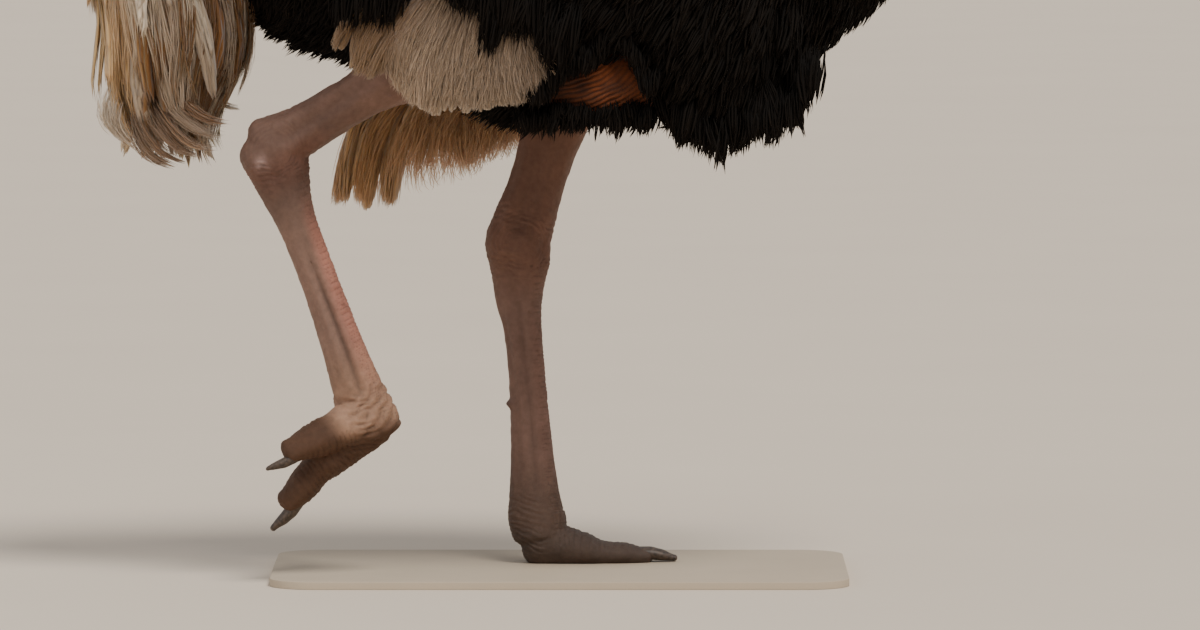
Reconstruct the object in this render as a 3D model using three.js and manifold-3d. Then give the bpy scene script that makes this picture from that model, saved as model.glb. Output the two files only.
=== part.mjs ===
// A life-size model of a male common ostrich, walking: it stands on its left foot and lifts its right one.
// Millimetres. +X is the way it walks, +Y its left and +Z up. The origin is the middle of the base's underside.
// Each part is lofted through rings, and where two parts meet, one is cut back from the other by GAP.
import * as THREE from "three";
import { mergeVertices } from "three/addons/utils/BufferGeometryUtils.js";
import Module from "manifold-3d";

const wasm = await Module();
wasm.setup();

// ---------- driving dimensions ----------

const GAP = 0.4; // clearance between neighbours
const FEMUR = 295;
const TIBIA = 517;
const TARSUS = 462;
const FOOT_JOINT = 44; // height of the joint at the root of the toes above the sole
const HIP_HALF = 112; // half the distance between the hips
const HIP_X = -119;

const BASE_LENGTH = 900;
const BASE_WIDTH = 520;
const BASE_THICK = 12;
const BASE_CORNER = 70;
const SOLE = BASE_THICK + GAP; // the level that the sole stands on

// Each bone's swing from straight down, forwards positive, and how far it steps sideways, outwards positive.
const STANDING = { side: 1, femur: 45, tibia: -17.3, tarsus: 3.6, out: [24, -52, -34] };
const LIFTED = { side: -1, femur: 23.3, tibia: -58.4, tarsus: 19.3, out: [30, 4, -6] };

const EYE_RADIUS = 23;
const EYE_DETAIL = 10; // facets round an eye
const EYE = { x: 9, y: 26.5, z: 11 }; // in the head's own frame
const HEAD_AT = [716, 0, 2322];
const HEAD_PITCH = 7; // bill below the horizontal, in degrees

const COLOURS = {
  black: 0x14100e,
  white: 0xb9a78e,
  tail: 0xa58761,
  skin: 0x8c6a5e,
  neck: 0xa98478,
  horn: 0x9c7f6a,
  claw: 0x3b312b,
  eye: 0x24160f,
  stand: 0xb7a78f,
};

// ---------- tools ----------

const Y_AXIS = new THREE.Vector3(0, 1, 0);
const point = (x, y, z) => new THREE.Vector3(x, y, z);

// The value at place t along a smooth curve through listed numbers.
function smooth(values, t) {
  const i = Math.min(Math.floor(t), values.length - 2);
  const f = t - i;
  const at = (k) => values[THREE.MathUtils.clamp(k, 0, values.length - 1)];
  const [a, b, c, d] = [at(i - 1), at(i), at(i + 1), at(i + 2)];
  return 0.5 * (2 * b + f * (c - a + f * (2 * a - 5 * b + 4 * c - d + f * (3 * b - a - 3 * c + d))));
}

// One ring of a loft: its centre and its half-sizes. "fore" is the half-size along tangent x side.
const ring = (x, y, z, fore, aft, side) => ({ x, y, z, fore, aft, side });

// A closed solid through rings. sides: points per ring. steps: rings made between two listed ones.
// along: one direction for every ring's normal. domes: the lengths of the rounded ends, 0 for a flat one.
function loft(rings, { sides = 16, steps = 2, along = null, domes = [0, 0], grow = 0 } = {}) {
  const places = [];
  for (let t = 0; t <= (rings.length - 1) * steps; t++) places.push(t / steps);
  const value = (key, t) => smooth(rings.map((r) => r[key]), t);
  const centre = (t) => point(value("x", t), value("y", t), value("z", t));
  const last = rings.length - 1;
  const made = places.map((t) => {
    const ahead = centre(Math.min(t + 0.05, last)).sub(centre(Math.max(t - 0.05, 0)));
    const tangent = (along ? along.clone() : ahead).normalize();
    const sizes = ["fore", "aft", "side"].map((k) => Math.max(value(k, t), 0.5) + grow);
    return { centre: centre(t), tangent, sizes };
  });
  const DOME_RINGS = 3;
  const dome = (from, length, way) => {
    const found = [];
    for (let k = 1; k <= DOME_RINGS; k++) {
      const angle = THREE.MathUtils.degToRad((82 * k) / DOME_RINGS);
      found.push({
        centre: from.centre.clone().addScaledVector(from.tangent, way * (length + grow) * Math.sin(angle)),
        tangent: from.tangent,
        sizes: from.sizes.map((s) => s * Math.cos(angle)),
      });
    }
    return found;
  };
  if (domes[1]) made.push(...dome(made.at(-1), domes[1], 1));
  if (domes[0]) made.unshift(...dome(made[0], domes[0], -1).reverse());

  const positions = [];
  for (const { centre: c, tangent, sizes } of made) {
    const side = Y_AXIS.clone().addScaledVector(tangent, -tangent.y).normalize();
    const fore = new THREE.Vector3().crossVectors(tangent, side);
    for (let j = 0; j < sides; j++) {
      const angle = (2 * Math.PI * j) / sides;
      const up = Math.sin(angle);
      const p = c.clone().addScaledVector(side, sizes[2] * Math.cos(angle));
      p.addScaledVector(fore, (up > 0 ? sizes[0] : sizes[1]) * up);
      positions.push(p.x, p.y, p.z);
    }
  }
  const caps = [made[0].centre, made.at(-1).centre];
  for (const c of caps) positions.push(c.x, c.y, c.z);
  const index = [];
  const count = made.length;
  for (let j = 0; j < sides; j++) {
    const k = (j + 1) % sides;
    for (let i = 0; i < count - 1; i++) {
      const [a, b] = [i * sides, (i + 1) * sides];
      index.push(a + j, a + k, b + k, a + j, b + k, b + j);
    }
    const end = (count - 1) * sides;
    index.push(count * sides, k, j, count * sides + 1, end + j, end + k);
  }
  return solid(new THREE.BufferGeometry()
    .setAttribute("position", new THREE.Float32BufferAttribute(positions, 3))
    .setIndex(index));
}

// A three.js geometry as a manifold solid.
function solid(geometry) {
  const g = geometry.clone();
  for (const name of Object.keys(g.attributes)) if (name !== "position") g.deleteAttribute(name);
  const merged = mergeVertices(g, 1e-3);
  return new wasm.Manifold(new wasm.Mesh({
    numProp: 3,
    vertProperties: new Float32Array(merged.attributes.position.array),
    triVerts: new Uint32Array(merged.index.array),
  }));
}

// A ball of half-sizes sx, sy, sz at a point.
function ball(x, y, z, sx, sy, sz, detail = 14) {
  const g = new THREE.SphereGeometry(1, detail, Math.round(detail * 0.7));
  return solid(g.scale(sx, sy, sz).translate(x, y, z));
}

// The largest of the bodies that a cut leaves.
function largest(made) {
  return made.decompose().sort((a, b) => b.volume() - a.volume())[0];
}

// What is left of a solid once others are cut from it.
const less = (made, ...cutters) => largest(cutters.reduce((a, b) => a.subtract(b), made));

// The two sides of a plane through a point, with GAP between them: [ahead of the normal, behind it].
function parted(made, at, normal) {
  const n = normal.clone().normalize();
  const level = n.dot(at);
  return [
    made.trimByPlane(n.toArray(), level + GAP / 2),
    made.trimByPlane(n.clone().negate().toArray(), -level + GAP / 2),
  ];
}

const moved = (made, matrix) => made.transform(matrix.elements.slice());

const root = new THREE.Group();

// Adds a solid to the model as a named mesh.
function add(name, made, colour, roughness = 0.8) {
  const m = made.getMesh();
  const positions = new Float32Array(m.numVert * 3);
  for (let i = 0; i < m.numVert; i++) {
    positions.set(m.vertProperties.subarray(i * m.numProp, i * m.numProp + 3), i * 3);
  }
  const geometry = new THREE.BufferGeometry()
    .setAttribute("position", new THREE.BufferAttribute(positions, 3))
    .setIndex(new THREE.BufferAttribute(new Uint32Array(m.triVerts), 1));
  geometry.computeVertexNormals();
  const material = new THREE.MeshStandardMaterial({ color: colour, roughness, metalness: 0 });
  const mesh = new THREE.Mesh(geometry, material);
  mesh.name = name;
  root.add(mesh);
}

// ---------- the bones' places ----------

// The far end of a bone that swings by so many degrees and steps sideways.
function swing(from, length, degrees, step) {
  const a = THREE.MathUtils.degToRad(degrees);
  const run = Math.sqrt(length * length - step * step);
  return point(from.x + run * Math.sin(a), from.y + step, from.z - run * Math.cos(a));
}

function joints(pose, hipHeight) {
  const hip = point(HIP_X, pose.side * HIP_HALF, hipHeight);
  const knee = swing(hip, FEMUR, pose.femur, pose.side * pose.out[0]);
  const ankle = swing(knee, TIBIA, pose.tibia, pose.side * pose.out[1]);
  const foot = swing(ankle, TARSUS, pose.tarsus, pose.side * pose.out[2]);
  return { hip, knee, ankle, foot };
}

// The hips' height follows from the standing leg.
const HIP_HEIGHT = SOLE + FOOT_JOINT - joints(STANDING, 0).foot.z;
const left = joints(STANDING, HIP_HEIGHT);
const right = joints(LIFTED, HIP_HEIGHT);

// ---------- the trunk, with its coat of black feathers ----------

const FORWARD = point(1, 0, 0);

// A ring across the body from its top, bottom and half-width.
function across(x, top, bottom, half) {
  const depth = (top - bottom) / 2;
  return ring(x, 0, bottom + depth, depth, depth, half);
}

const TRUNK_RINGS = [
  across(-505, 1215, 900, 84),
  across(-440, 1292, 842, 150),
  across(-340, 1352, 800, 205),
  across(-200, 1402, 752, 240),
  across(-50, 1420, 692, 255),
  across(100, 1402, 684, 258),
  across(215, 1366, 650, 250),
  across(310, 1318, 668, 228),
  across(405, 1262, 752, 186),
  across(490, 1206, 872, 128),
  across(548, 1140, 962, 72),
];
const trunkLoft = (grow) => loft(TRUNK_RINGS, { sides: 18, steps: 2, along: FORWARD, domes: [45, 30], grow });
const trunk = trunkLoft(0);
const trunkSpace = trunkLoft(GAP);

// ---------- wings, laid on the trunk's sides ----------

// A ring across a wing on the left side.
function wingRing(x, top, bottom, outer, inner = 90) {
  const depth = (top - bottom) / 2;
  return ring(x, (outer + inner) / 2, bottom + depth, depth, depth, (outer - inner) / 2);
}

const WING_RINGS = [
  wingRing(-345, 1165, 985, 232),
  wingRing(-270, 1215, 930, 262),
  wingRing(-150, 1262, 835, 288),
  wingRing(-30, 1290, 790, 298),
  wingRing(90, 1290, 775, 300),
  wingRing(200, 1262, 708, 290),
  wingRing(310, 1214, 735, 258),
  wingRing(400, 1150, 835, 205),
];
const wingLoft = (grow) => loft(WING_RINGS, { sides: 12, steps: 1, along: FORWARD, domes: [40, 45], grow });
const mirrored = (made) => made.mirror([0, 1, 0]);

// ---------- legs ----------

// A ring on the way between two joints: share from a to b, moved forwards or back by shift.
function between(a, b, share, fore, aft, side, shift = 0) {
  const p = a.clone().lerp(b, share);
  return ring(p.x + shift, p.y, p.z, fore, aft, side);
}

// The shank from the knee to the ankle, and the tarsus from the ankle to the foot joint, as one solid each.
function legLofts(leg, bent, grow = 0) {
  const { knee, ankle, foot } = leg;
  const calf = bent ? 1.1 : 1; // a folded leg bunches its calf
  const shin = bent ? 0.84 : 1; // and its shin, free of the body's weight, is slimmer
  const shank = loft([
    between(knee, ankle, -0.12, 92, 118 * calf, 86),
    between(knee, ankle, 0.1, 92, 122 * calf, 84),
    between(knee, ankle, 0.3, 78, 98 * calf, 70),
    between(knee, ankle, 0.5, 58, 70 * calf, 52),
    between(knee, ankle, 0.66, 46 * shin, 50 * shin, 41),
    between(knee, ankle, 0.8, 42 * shin, 46 * shin, 37),
    between(knee, ankle, 0.92, 45 * shin, 52 * shin, 38),
    between(knee, ankle, 1.0, 48 * shin, 55, 40),
  ], { sides: 12, steps: 1, domes: [60, 34], grow });
  const tarsus = loft([
    between(ankle, foot, 0.0, 49, 55, 40),
    between(ankle, foot, 0.07, 46, 50, 37),
    between(ankle, foot, 0.15, 37, 42, 31, -2),
    between(ankle, foot, 0.26, 29, 33, 25, -2),
    between(ankle, foot, 0.4, 28, 30, 22, -1),
    between(ankle, foot, 0.55, 29, 31, 22, 0),
    between(ankle, foot, 0.7, 32, 34, 25, 0),
    between(ankle, foot, 0.84, 37, 40, 29, 0),
    between(ankle, foot, 0.94, 44, 45, 34, 0),
    between(ankle, foot, 1.0, 46, 40, 37, 0),
  ], { sides: 12, steps: 1, domes: [36, 20], grow });
  return { shank, tarsus };
}

// The ankle is parted by the plane that halves its bend.
function legParts(leg, bent) {
  const { shank, tarsus } = legLofts(leg, bent);
  const whole = shank.add(tarsus);
  const down = leg.foot.clone().sub(leg.ankle).normalize();
  const up = leg.knee.clone().sub(leg.ankle).normalize();
  const [lower, upper] = parted(whole, leg.ankle, down.sub(up));
  return { shank: largest(upper), tarsus: largest(lower) };
}

const legLeft = legParts(left, false);
const legRight = legParts(right, true);
const shankSpaceRight = legLofts(right, true, GAP).shank;
const shankSpaceLeft = legLofts(left, false, GAP).shank;

// The wings lie over the tops of the legs.
const wingLeft = less(wingLoft(0), trunkSpace, shankSpaceLeft);
const wingRight = less(mirrored(wingLoft(0)), trunkSpace, shankSpaceRight);

// ---------- feet ----------

// A toe along +x in the foot's own frame, whose origin is the foot joint.
// Stations: [distance, top, half-width], heights from the sole. pad: how far the underside bulges below the sole.
// A foot that stands is cut flat there.
function toeLoft(stations, { pad, flat }, grow = 0) {
  const rings = stations.map(([d, top, half]) => {
    const middle = top * 0.42;
    return ring(d, 0, -FOOT_JOINT + middle, top - middle, middle + pad, half);
  });
  const whole = loft(rings, { sides: 12, steps: 1, along: FORWARD, domes: [30, 14], grow });
  return flat ? whole.trimByPlane([0, 0, 1], -FOOT_JOINT - grow) : whole;
}

// A blunt nail along +x: [distance, top, bottom, half-width], from the sole.
function clawLoft(stations) {
  const rings = stations.map(([d, top, bottom, half]) => {
    return ring(d, 0, -FOOT_JOINT + (top + bottom) / 2, (top - bottom) / 2, (top - bottom) / 2, half);
  });
  return loft(rings, { sides: 6, steps: 1, along: FORWARD, domes: [0, 5] });
}

const INNER_TOE = [[0, 74, 34], [40, 58, 37], [78, 44, 38], [110, 31, 32], [150, 28, 31], [180, 21, 23]];
const OUTER_TOE = [[0, 60, 24], [38, 46, 27], [72, 36, 25], [104, 29, 22], [130, 20, 16]];
const INNER_CLAW = [[168, 19, 6, 15], [190, 16, 4, 14], [216, 9, 2, 8]];
const OUTER_CLAW = [[122, 16, 5, 9], [142, 13, 3, 8], [164, 7, 2, 4]];
const OUTER_ROOT = [4, 24]; // its root, ahead of and outside the inner toe's
const FLAT_FOOT = { pad: 9, flat: true, pitch: 0, curl: 0, turn: 4, spread: 27 };
const HUNG_FOOT = { pad: 18, flat: false, pitch: 125, curl: 21, turn: 3, spread: 19 };

// Both toes and claws, placed at the joint. side: +1 on the left foot. Angles are in degrees.
// pitch: how far the toes point down.
// curl: how much further the outer toe bends towards the sole. turn: how far the whole foot turns out.
// spread: how far the outer toe turns out from the inner one.
function footParts(joint, side, tarsus, shape) {
  const degrees = THREE.MathUtils.degToRad;
  const place = new THREE.Matrix4().makeTranslation(joint.x, joint.y, joint.z)
    .multiply(new THREE.Matrix4().makeRotationZ(degrees(side * shape.turn)))
    .multiply(new THREE.Matrix4().makeRotationY(degrees(shape.pitch)));
  const outer = new THREE.Matrix4().makeTranslation(OUTER_ROOT[0], side * OUTER_ROOT[1], 0)
    .multiply(new THREE.Matrix4().makeRotationZ(degrees(side * shape.spread)))
    .multiply(new THREE.Matrix4().makeRotationY(degrees(shape.curl)));
  const inner = moved(toeLoft(INNER_TOE, shape), place);
  const innerSpace = moved(toeLoft(INNER_TOE, shape, GAP), place);
  const outerPlace = place.clone().multiply(outer);
  const outerToe = moved(toeLoft(OUTER_TOE, shape), outerPlace);
  const outerSpace = moved(toeLoft(OUTER_TOE, shape, GAP), outerPlace);
  return {
    inner: less(inner, tarsus),
    outer: less(outerToe, tarsus, innerSpace),
    innerClaw: less(moved(clawLoft(INNER_CLAW), place), innerSpace),
    outerClaw: less(moved(clawLoft(OUTER_CLAW), outerPlace), outerSpace),
  };
}

const tarsusSpaceLeft = legLofts(left, false, GAP).tarsus;
const tarsusSpaceRight = legLofts(right, true, GAP).tarsus;
const footLeft = footParts(left.foot, 1, tarsusSpaceLeft, FLAT_FOOT);
const footRight = footParts(right.foot, -1, tarsusSpaceRight, HUNG_FOOT);

// The standing heel is cut flat at the sole's level, clear of the base.
legLeft.tarsus = legLeft.tarsus.trimByPlane([0, 0, 1], SOLE);

// ---------- white wing plumes and the tail, drooping ----------

const DOWNWARD = point(0, 0, -1);

// A ring of a hanging bunch at height z, from its front and back ends, its middle y and half its thickness.
function hanging(z, front, back, y, half) {
  const reach = (front - back) / 2;
  return ring(back + reach, y, z, reach, reach, half);
}

const plumesRightLoft = loft([
  hanging(1010, -185, -268, -232, 16),
  hanging(930, -165, -285, -262, 22),
  hanging(860, -42, -350, -272, 24),
  hanging(800, -26, -338, -272, 24),
  hanging(758, -60, -290, -266, 20),
  hanging(738, -110, -235, -262, 13),
], { sides: 12, steps: 2, along: DOWNWARD, domes: [10, 9] });

const plumesLeftLoft = loft([
  hanging(1010, -185, -268, 232, 16),
  hanging(900, -120, -310, 262, 22),
  hanging(790, -40, -352, 268, 24),
  hanging(700, -50, -362, 258, 24),
  hanging(630, -130, -360, 246, 20),
  hanging(586, -250, -356, 238, 13),
], { sides: 12, steps: 2, along: DOWNWARD, domes: [10, 10] });

const plumesRight = less(plumesRightLoft, trunkSpace, mirrored(wingLoft(GAP)), shankSpaceRight);
const plumesLeft = less(plumesLeftLoft, trunkSpace, wingLoft(GAP), shankSpaceLeft);

const tail = less(loft([
  ring(-455, 0, 1205, 70, 80, 95),
  ring(-545, 0, 1185, 90, 78, 135),
  ring(-612, 0, 1085, 112, 96, 160),
  ring(-622, 0, 960, 128, 114, 162),
  ring(-616, 0, 830, 126, 118, 142),
  ring(-606, 0, 730, 86, 108, 104),
  ring(-592, 0, 664, 46, 62, 60),
], { sides: 12, steps: 2, domes: [0, 26] }), trunkSpace);

// ---------- neck ----------

const NECK_RINGS = [
  ring(455, 0, 1165, 128, 118, 104),
  ring(520, 0, 1262, 104, 98, 88),
  ring(572, 0, 1368, 72, 70, 66),
  ring(606, 0, 1500, 54, 55, 51),
  ring(622, 0, 1650, 46, 48, 44),
  ring(625, 0, 1805, 41, 43, 39),
  ring(624, 0, 1960, 37, 40, 36),
  ring(632, 0, 2100, 34, 38, 34),
  ring(655, 0, 2215, 33, 37, 33),
  ring(690, 0, 2290, 30, 36, 32),
];
const NECK_CUTS = [3.4, 6.2]; // places along the rings where the neck is divided
const neckLoft = (grow) => loft(NECK_RINGS, { sides: 12, steps: 2, domes: [0, 24], grow });

function neckPlace(t) {
  const at = (key, u) => smooth(NECK_RINGS.map((r) => r[key]), u);
  const p = point(at("x", t), 0, at("z", t));
  const ahead = point(at("x", t + 0.05) - at("x", t - 0.05), 0, at("z", t + 0.05) - at("z", t - 0.05));
  return [p, ahead];
}

// ---------- head, bill and eyes, in a frame at the middle of the skull with +x to the bill's tip ----------

const headPlace = new THREE.Matrix4().makeTranslation(...HEAD_AT)
  .multiply(new THREE.Matrix4().makeRotationY(THREE.MathUtils.degToRad(HEAD_PITCH)));

// A ring across the head from its top, bottom, half-width and the height of its widest level.
const skull = (x, top, bottom, half, level = 0) => ring(x, 0, level, top - level, level - bottom, half);

const BILL_FROM = 52; // where skin gives way to horn
const MOUTH = -17; // the level of the line between the bills

const headLoft = (grow) => loft([
  skull(-66, 20, -30, 22, -4),
  skull(-48, 36, -42, 36, -2),
  skull(-22, 45, -46, 44, 2),
  skull(6, 48, -44, 46, 6),
  skull(30, 42, -39, 40, 2),
  skull(52, 25, -33, 34, -8),
  skull(78, 10, -29, 33, -13),
  skull(104, 3, -26, 30, -15),
  skull(124, -2, -24, 24, -16),
  skull(137, -8, -22, 14, -16),
], { sides: 12, steps: 2, along: FORWARD, domes: [16, 7], grow });

const brow = (side) => loft([
  ring(-22, side * 36, 27, 6, 8, 9),
  ring(6, side * 42, 31, 8, 8, 10),
  ring(34, side * 34, 22, 6, 8, 8),
], { sides: 6, steps: 1, along: FORWARD, domes: [8, 8] });

const eyeBall = (side, radius, detail) => ball(EYE.x, side * EYE.y, EYE.z, radius, radius, radius, detail);

const wholeHead = headLoft(0).add(brow(1)).add(brow(-1));
const [billBlank, faceBlank] = parted(wholeHead, point(BILL_FROM, 0, 0), point(1, 0, -0.28));
const [billUpper, billLower] = parted(billBlank, point(0, 0, MOUTH), point(0.04, 0, 1));
const EAR = { x: -30, y: 44, z: 0 };
const NOSTRIL = { x: 90, y: 15, z: 8 };
const face = [1, -1].reduce((made, side) => made
  .subtract(eyeBall(side, EYE_RADIUS + GAP, EYE_DETAIL))
  .subtract(ball(EAR.x, side * EAR.y, EAR.z, 5, 8, 7, 6)), faceBlank);
const billTop = [1, -1].reduce((made, side) => made
  .subtract(ball(NOSTRIL.x, side * NOSTRIL.y, NOSTRIL.z, 9, 4, 5, 6)), billUpper);

const headSpace = moved(headLoft(GAP).add(brow(1)).add(brow(-1)), headPlace);
const neckWhole = less(neckLoft(0), trunkSpace, headSpace);
const [neckAbove, neckLower] = parted(neckWhole, ...neckPlace(NECK_CUTS[0]));
const [neckUpper, neckMiddle] = parted(neckAbove, ...neckPlace(NECK_CUTS[1]));

// ---------- base ----------

function baseSolid() {
  const [hx, hy, r] = [BASE_LENGTH / 2, BASE_WIDTH / 2, BASE_CORNER];
  const outline = new THREE.Shape();
  outline.moveTo(-hx + r, -hy);
  outline.lineTo(hx - r, -hy);
  outline.absarc(hx - r, -hy + r, r, -Math.PI / 2, 0);
  outline.absarc(hx - r, hy - r, r, 0, Math.PI / 2);
  outline.absarc(-hx + r, hy - r, r, Math.PI / 2, Math.PI);
  outline.absarc(-hx + r, -hy + r, r, Math.PI, 1.5 * Math.PI);
  const settings = { depth: BASE_THICK, bevelEnabled: false, curveSegments: 3 };
  return solid(new THREE.ExtrudeGeometry(outline, settings));
}

// ---------- the model ----------

add("trunk", trunk, COLOURS.black);
add("wing_left", wingLeft, COLOURS.black);
add("wing_right", wingRight, COLOURS.black);
add("plumes_left", plumesLeft, COLOURS.white);
add("plumes_right", plumesRight, COLOURS.white);
add("tail", tail, COLOURS.tail);

add("neck_lower", largest(neckLower), COLOURS.neck);
add("neck_middle", largest(neckMiddle), COLOURS.neck);
add("neck_upper", largest(neckUpper), COLOURS.neck);
add("head", largest(moved(face, headPlace)), COLOURS.neck);
add("bill_upper", largest(moved(billTop, headPlace)), COLOURS.horn, 0.5);
add("bill_lower", largest(moved(billLower, headPlace)), COLOURS.horn, 0.5);
add("eye_left", moved(eyeBall(1, EYE_RADIUS, EYE_DETAIL), headPlace), COLOURS.eye, 0.1);
add("eye_right", moved(eyeBall(-1, EYE_RADIUS, EYE_DETAIL), headPlace), COLOURS.eye, 0.1);

for (const [name, leg, foot] of [["left", legLeft, footLeft], ["right", legRight, footRight]]) {
  add(`shank_${name}`, less(leg.shank, trunkSpace), COLOURS.skin);
  add(`tarsus_${name}`, leg.tarsus, COLOURS.skin);
  add(`toe_inner_${name}`, foot.inner, COLOURS.skin);
  add(`toe_outer_${name}`, foot.outer, COLOURS.skin);
  add(`claw_inner_${name}`, foot.innerClaw, COLOURS.claw, 0.5);
  add(`claw_outer_${name}`, foot.outerClaw, COLOURS.claw, 0.5);
}

add("stand_base", baseSolid(), COLOURS.stand, 0.7);

export default root;
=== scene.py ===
import math

import bpy
import numpy as np
from mathutils import Matrix, Vector


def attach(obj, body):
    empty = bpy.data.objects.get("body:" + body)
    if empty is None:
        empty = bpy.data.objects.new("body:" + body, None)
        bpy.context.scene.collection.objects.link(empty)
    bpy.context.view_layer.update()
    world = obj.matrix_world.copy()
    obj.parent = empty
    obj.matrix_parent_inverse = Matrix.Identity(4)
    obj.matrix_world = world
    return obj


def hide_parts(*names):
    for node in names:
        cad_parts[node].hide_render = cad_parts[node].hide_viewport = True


# A walking male ostrich, life size, on its base plate: skin, horn, eyes and plumage over the solids.
# Metres. +X is the way it walks, +Y its left, +Z up.

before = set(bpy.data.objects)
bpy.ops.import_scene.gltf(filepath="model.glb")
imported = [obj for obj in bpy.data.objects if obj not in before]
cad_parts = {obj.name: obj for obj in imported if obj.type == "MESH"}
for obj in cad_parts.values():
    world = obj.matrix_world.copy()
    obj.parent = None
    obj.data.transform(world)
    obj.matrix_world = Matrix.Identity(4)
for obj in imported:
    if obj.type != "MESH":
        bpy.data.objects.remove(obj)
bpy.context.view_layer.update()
bpy.ops.object.select_all(action="DESELECT")

MM = 0.001
DOWN = np.array([0.0, 0.0, -1.0])
ACROSS = np.array([0.0, 1.0, 0.0])
FORWARD = np.array([1.0, 0.0, 0.0])
rng = np.random.default_rng(11)

# ---------- the bird's measures, in millimetres ----------

GAP = 0.4
FEMUR, TIBIA, TARSUS = 295, 517, 462
FOOT_JOINT = 44
HIP_HALF, HIP_X = 112, -119
BASE_THICK = 12
SOLE = BASE_THICK + GAP
STANDING = dict(side=1, femur=45, tibia=-17.3, tarsus=3.6, out=(24, -52, -34))
LIFTED = dict(side=-1, femur=23.3, tibia=-58.4, tarsus=19.3, out=(30, 4, -6))
HEAD_AT = (716, 0, 2322)
HEAD_PITCH = 7
EYE_AT = np.array([9.0, 26.5, 11.0])
EYE_RADIUS = 23.0

# ---------- camera, lights and floor ----------

CAMERA_AWAY = 14.0
CAMERA_RISE = math.radians(4)
AIM = Vector((0.063, 0.0, 0.407))
VIEW_WIDTH = 1.884
SENSOR = 36.0
SKY_COLOUR, SKY_STRENGTH = (0.88, 0.88, 0.9, 1), 0.55


def add_light(kind, name, place, aim, power, colour, **settings):
    """A lamp at one place that shines towards another."""
    bpy.ops.object.light_add(type=kind, location=place)
    lamp = bpy.context.object
    lamp.name = name
    lamp.data.energy, lamp.data.color = power, colour
    for key, value in settings.items():
        setattr(lamp.data, key, value)
    lamp.rotation_euler = (Vector(aim) - Vector(place)).to_track_quat("-Z", "Y").to_euler()


def set_stage():
    """The camera low at the bird's right side, a soft sun from its front right and a fill from behind."""
    bpy.ops.object.camera_add()
    camera = bpy.context.object
    camera.name = "camera"
    camera.data.sensor_width = SENSOR
    camera.data.lens = SENSOR * CAMERA_AWAY / VIEW_WIDTH
    camera.data.clip_end = 100
    camera.location = AIM + CAMERA_AWAY * Vector((0, -math.cos(CAMERA_RISE), math.sin(CAMERA_RISE)))
    camera.rotation_euler = (math.pi / 2 - CAMERA_RISE, 0, 0)
    bpy.context.scene.camera = camera
    add_light("AREA", "fill_light", (-4.5, -3.5, 2.4), (0, 0, 1), 60, (0.95, 0.97, 1), shape="DISK", size=3.5)
    add_light("SUN", "key_light", (0, 0, 6), (-0.35, 0.5, 5), 2.6, (1, 0.965, 0.91), angle=math.radians(24))
    world = bpy.data.worlds.new("studio")
    world.use_nodes = True
    sky = world.node_tree.nodes["Background"].inputs
    sky["Color"].default_value, sky["Strength"].default_value = SKY_COLOUR, SKY_STRENGTH
    bpy.context.scene.world = world


set_stage()

# ---------- array tools ----------


def unit(v):
    return v / np.maximum(np.linalg.norm(v, axis=-1, keepdims=True), 1e-12)


def ease(x, low, high):
    """0 below low, 1 above high and smooth between."""
    f = np.clip((x - low) / (high - low), 0, 1)
    return f * f * (3 - 2 * f)


def within(x, start, full, fading, end):
    """0 outside start and end, 1 between full and fading."""
    return ease(x, start, full) * (1 - ease(x, fading, end))


def bell(x, middle, width):
    return np.exp(-(((x - middle) / width) ** 2))


def dots(a, b):
    return np.sum(a * b, axis=-1)


def mm(*values):
    """Millimetres as metres."""
    return [value * MM for value in values]


def through(rows, t):
    """Smooth values through listed rows at places t."""
    rows = np.asarray(rows, float)
    t = np.atleast_1d(np.asarray(t, float))
    i = np.clip(np.floor(t).astype(int), 0, len(rows) - 2)
    f = (t - i)[:, None]
    a, b, c, d = (rows[np.clip(i + k, 0, len(rows) - 1)] for k in (-1, 0, 1, 2))
    return 0.5 * (2 * b + f * (c - a + f * (2 * a - 5 * b + 4 * c - d + f * (3 * b - a - 3 * c + d))))


def rumple(points, size, seed=0):
    """Smooth noise from -1 to 1 with bumps of about the given size."""
    q = points / size
    cell = np.floor(q).astype(np.int64)
    f = q - cell
    f = f * f * (3 - 2 * f)
    total = np.zeros(len(points))
    for corner in np.ndindex(2, 2, 2):
        c = cell + corner
        h = (c[:, 0] * 73856093) ^ (c[:, 1] * 19349663) ^ (c[:, 2] * 83492791) ^ (seed * 2654435761)
        h = (h ^ (h >> 13)) * 1274126177
        value = ((h ^ (h >> 16)) & 0xFFFF) / 32767.5 - 1
        total += value * np.prod(np.where(corner, f, 1 - f), axis=1)
    return total


DOME_ANGLES = [15, 30, 45, 60, 72, 82, 88]


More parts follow.
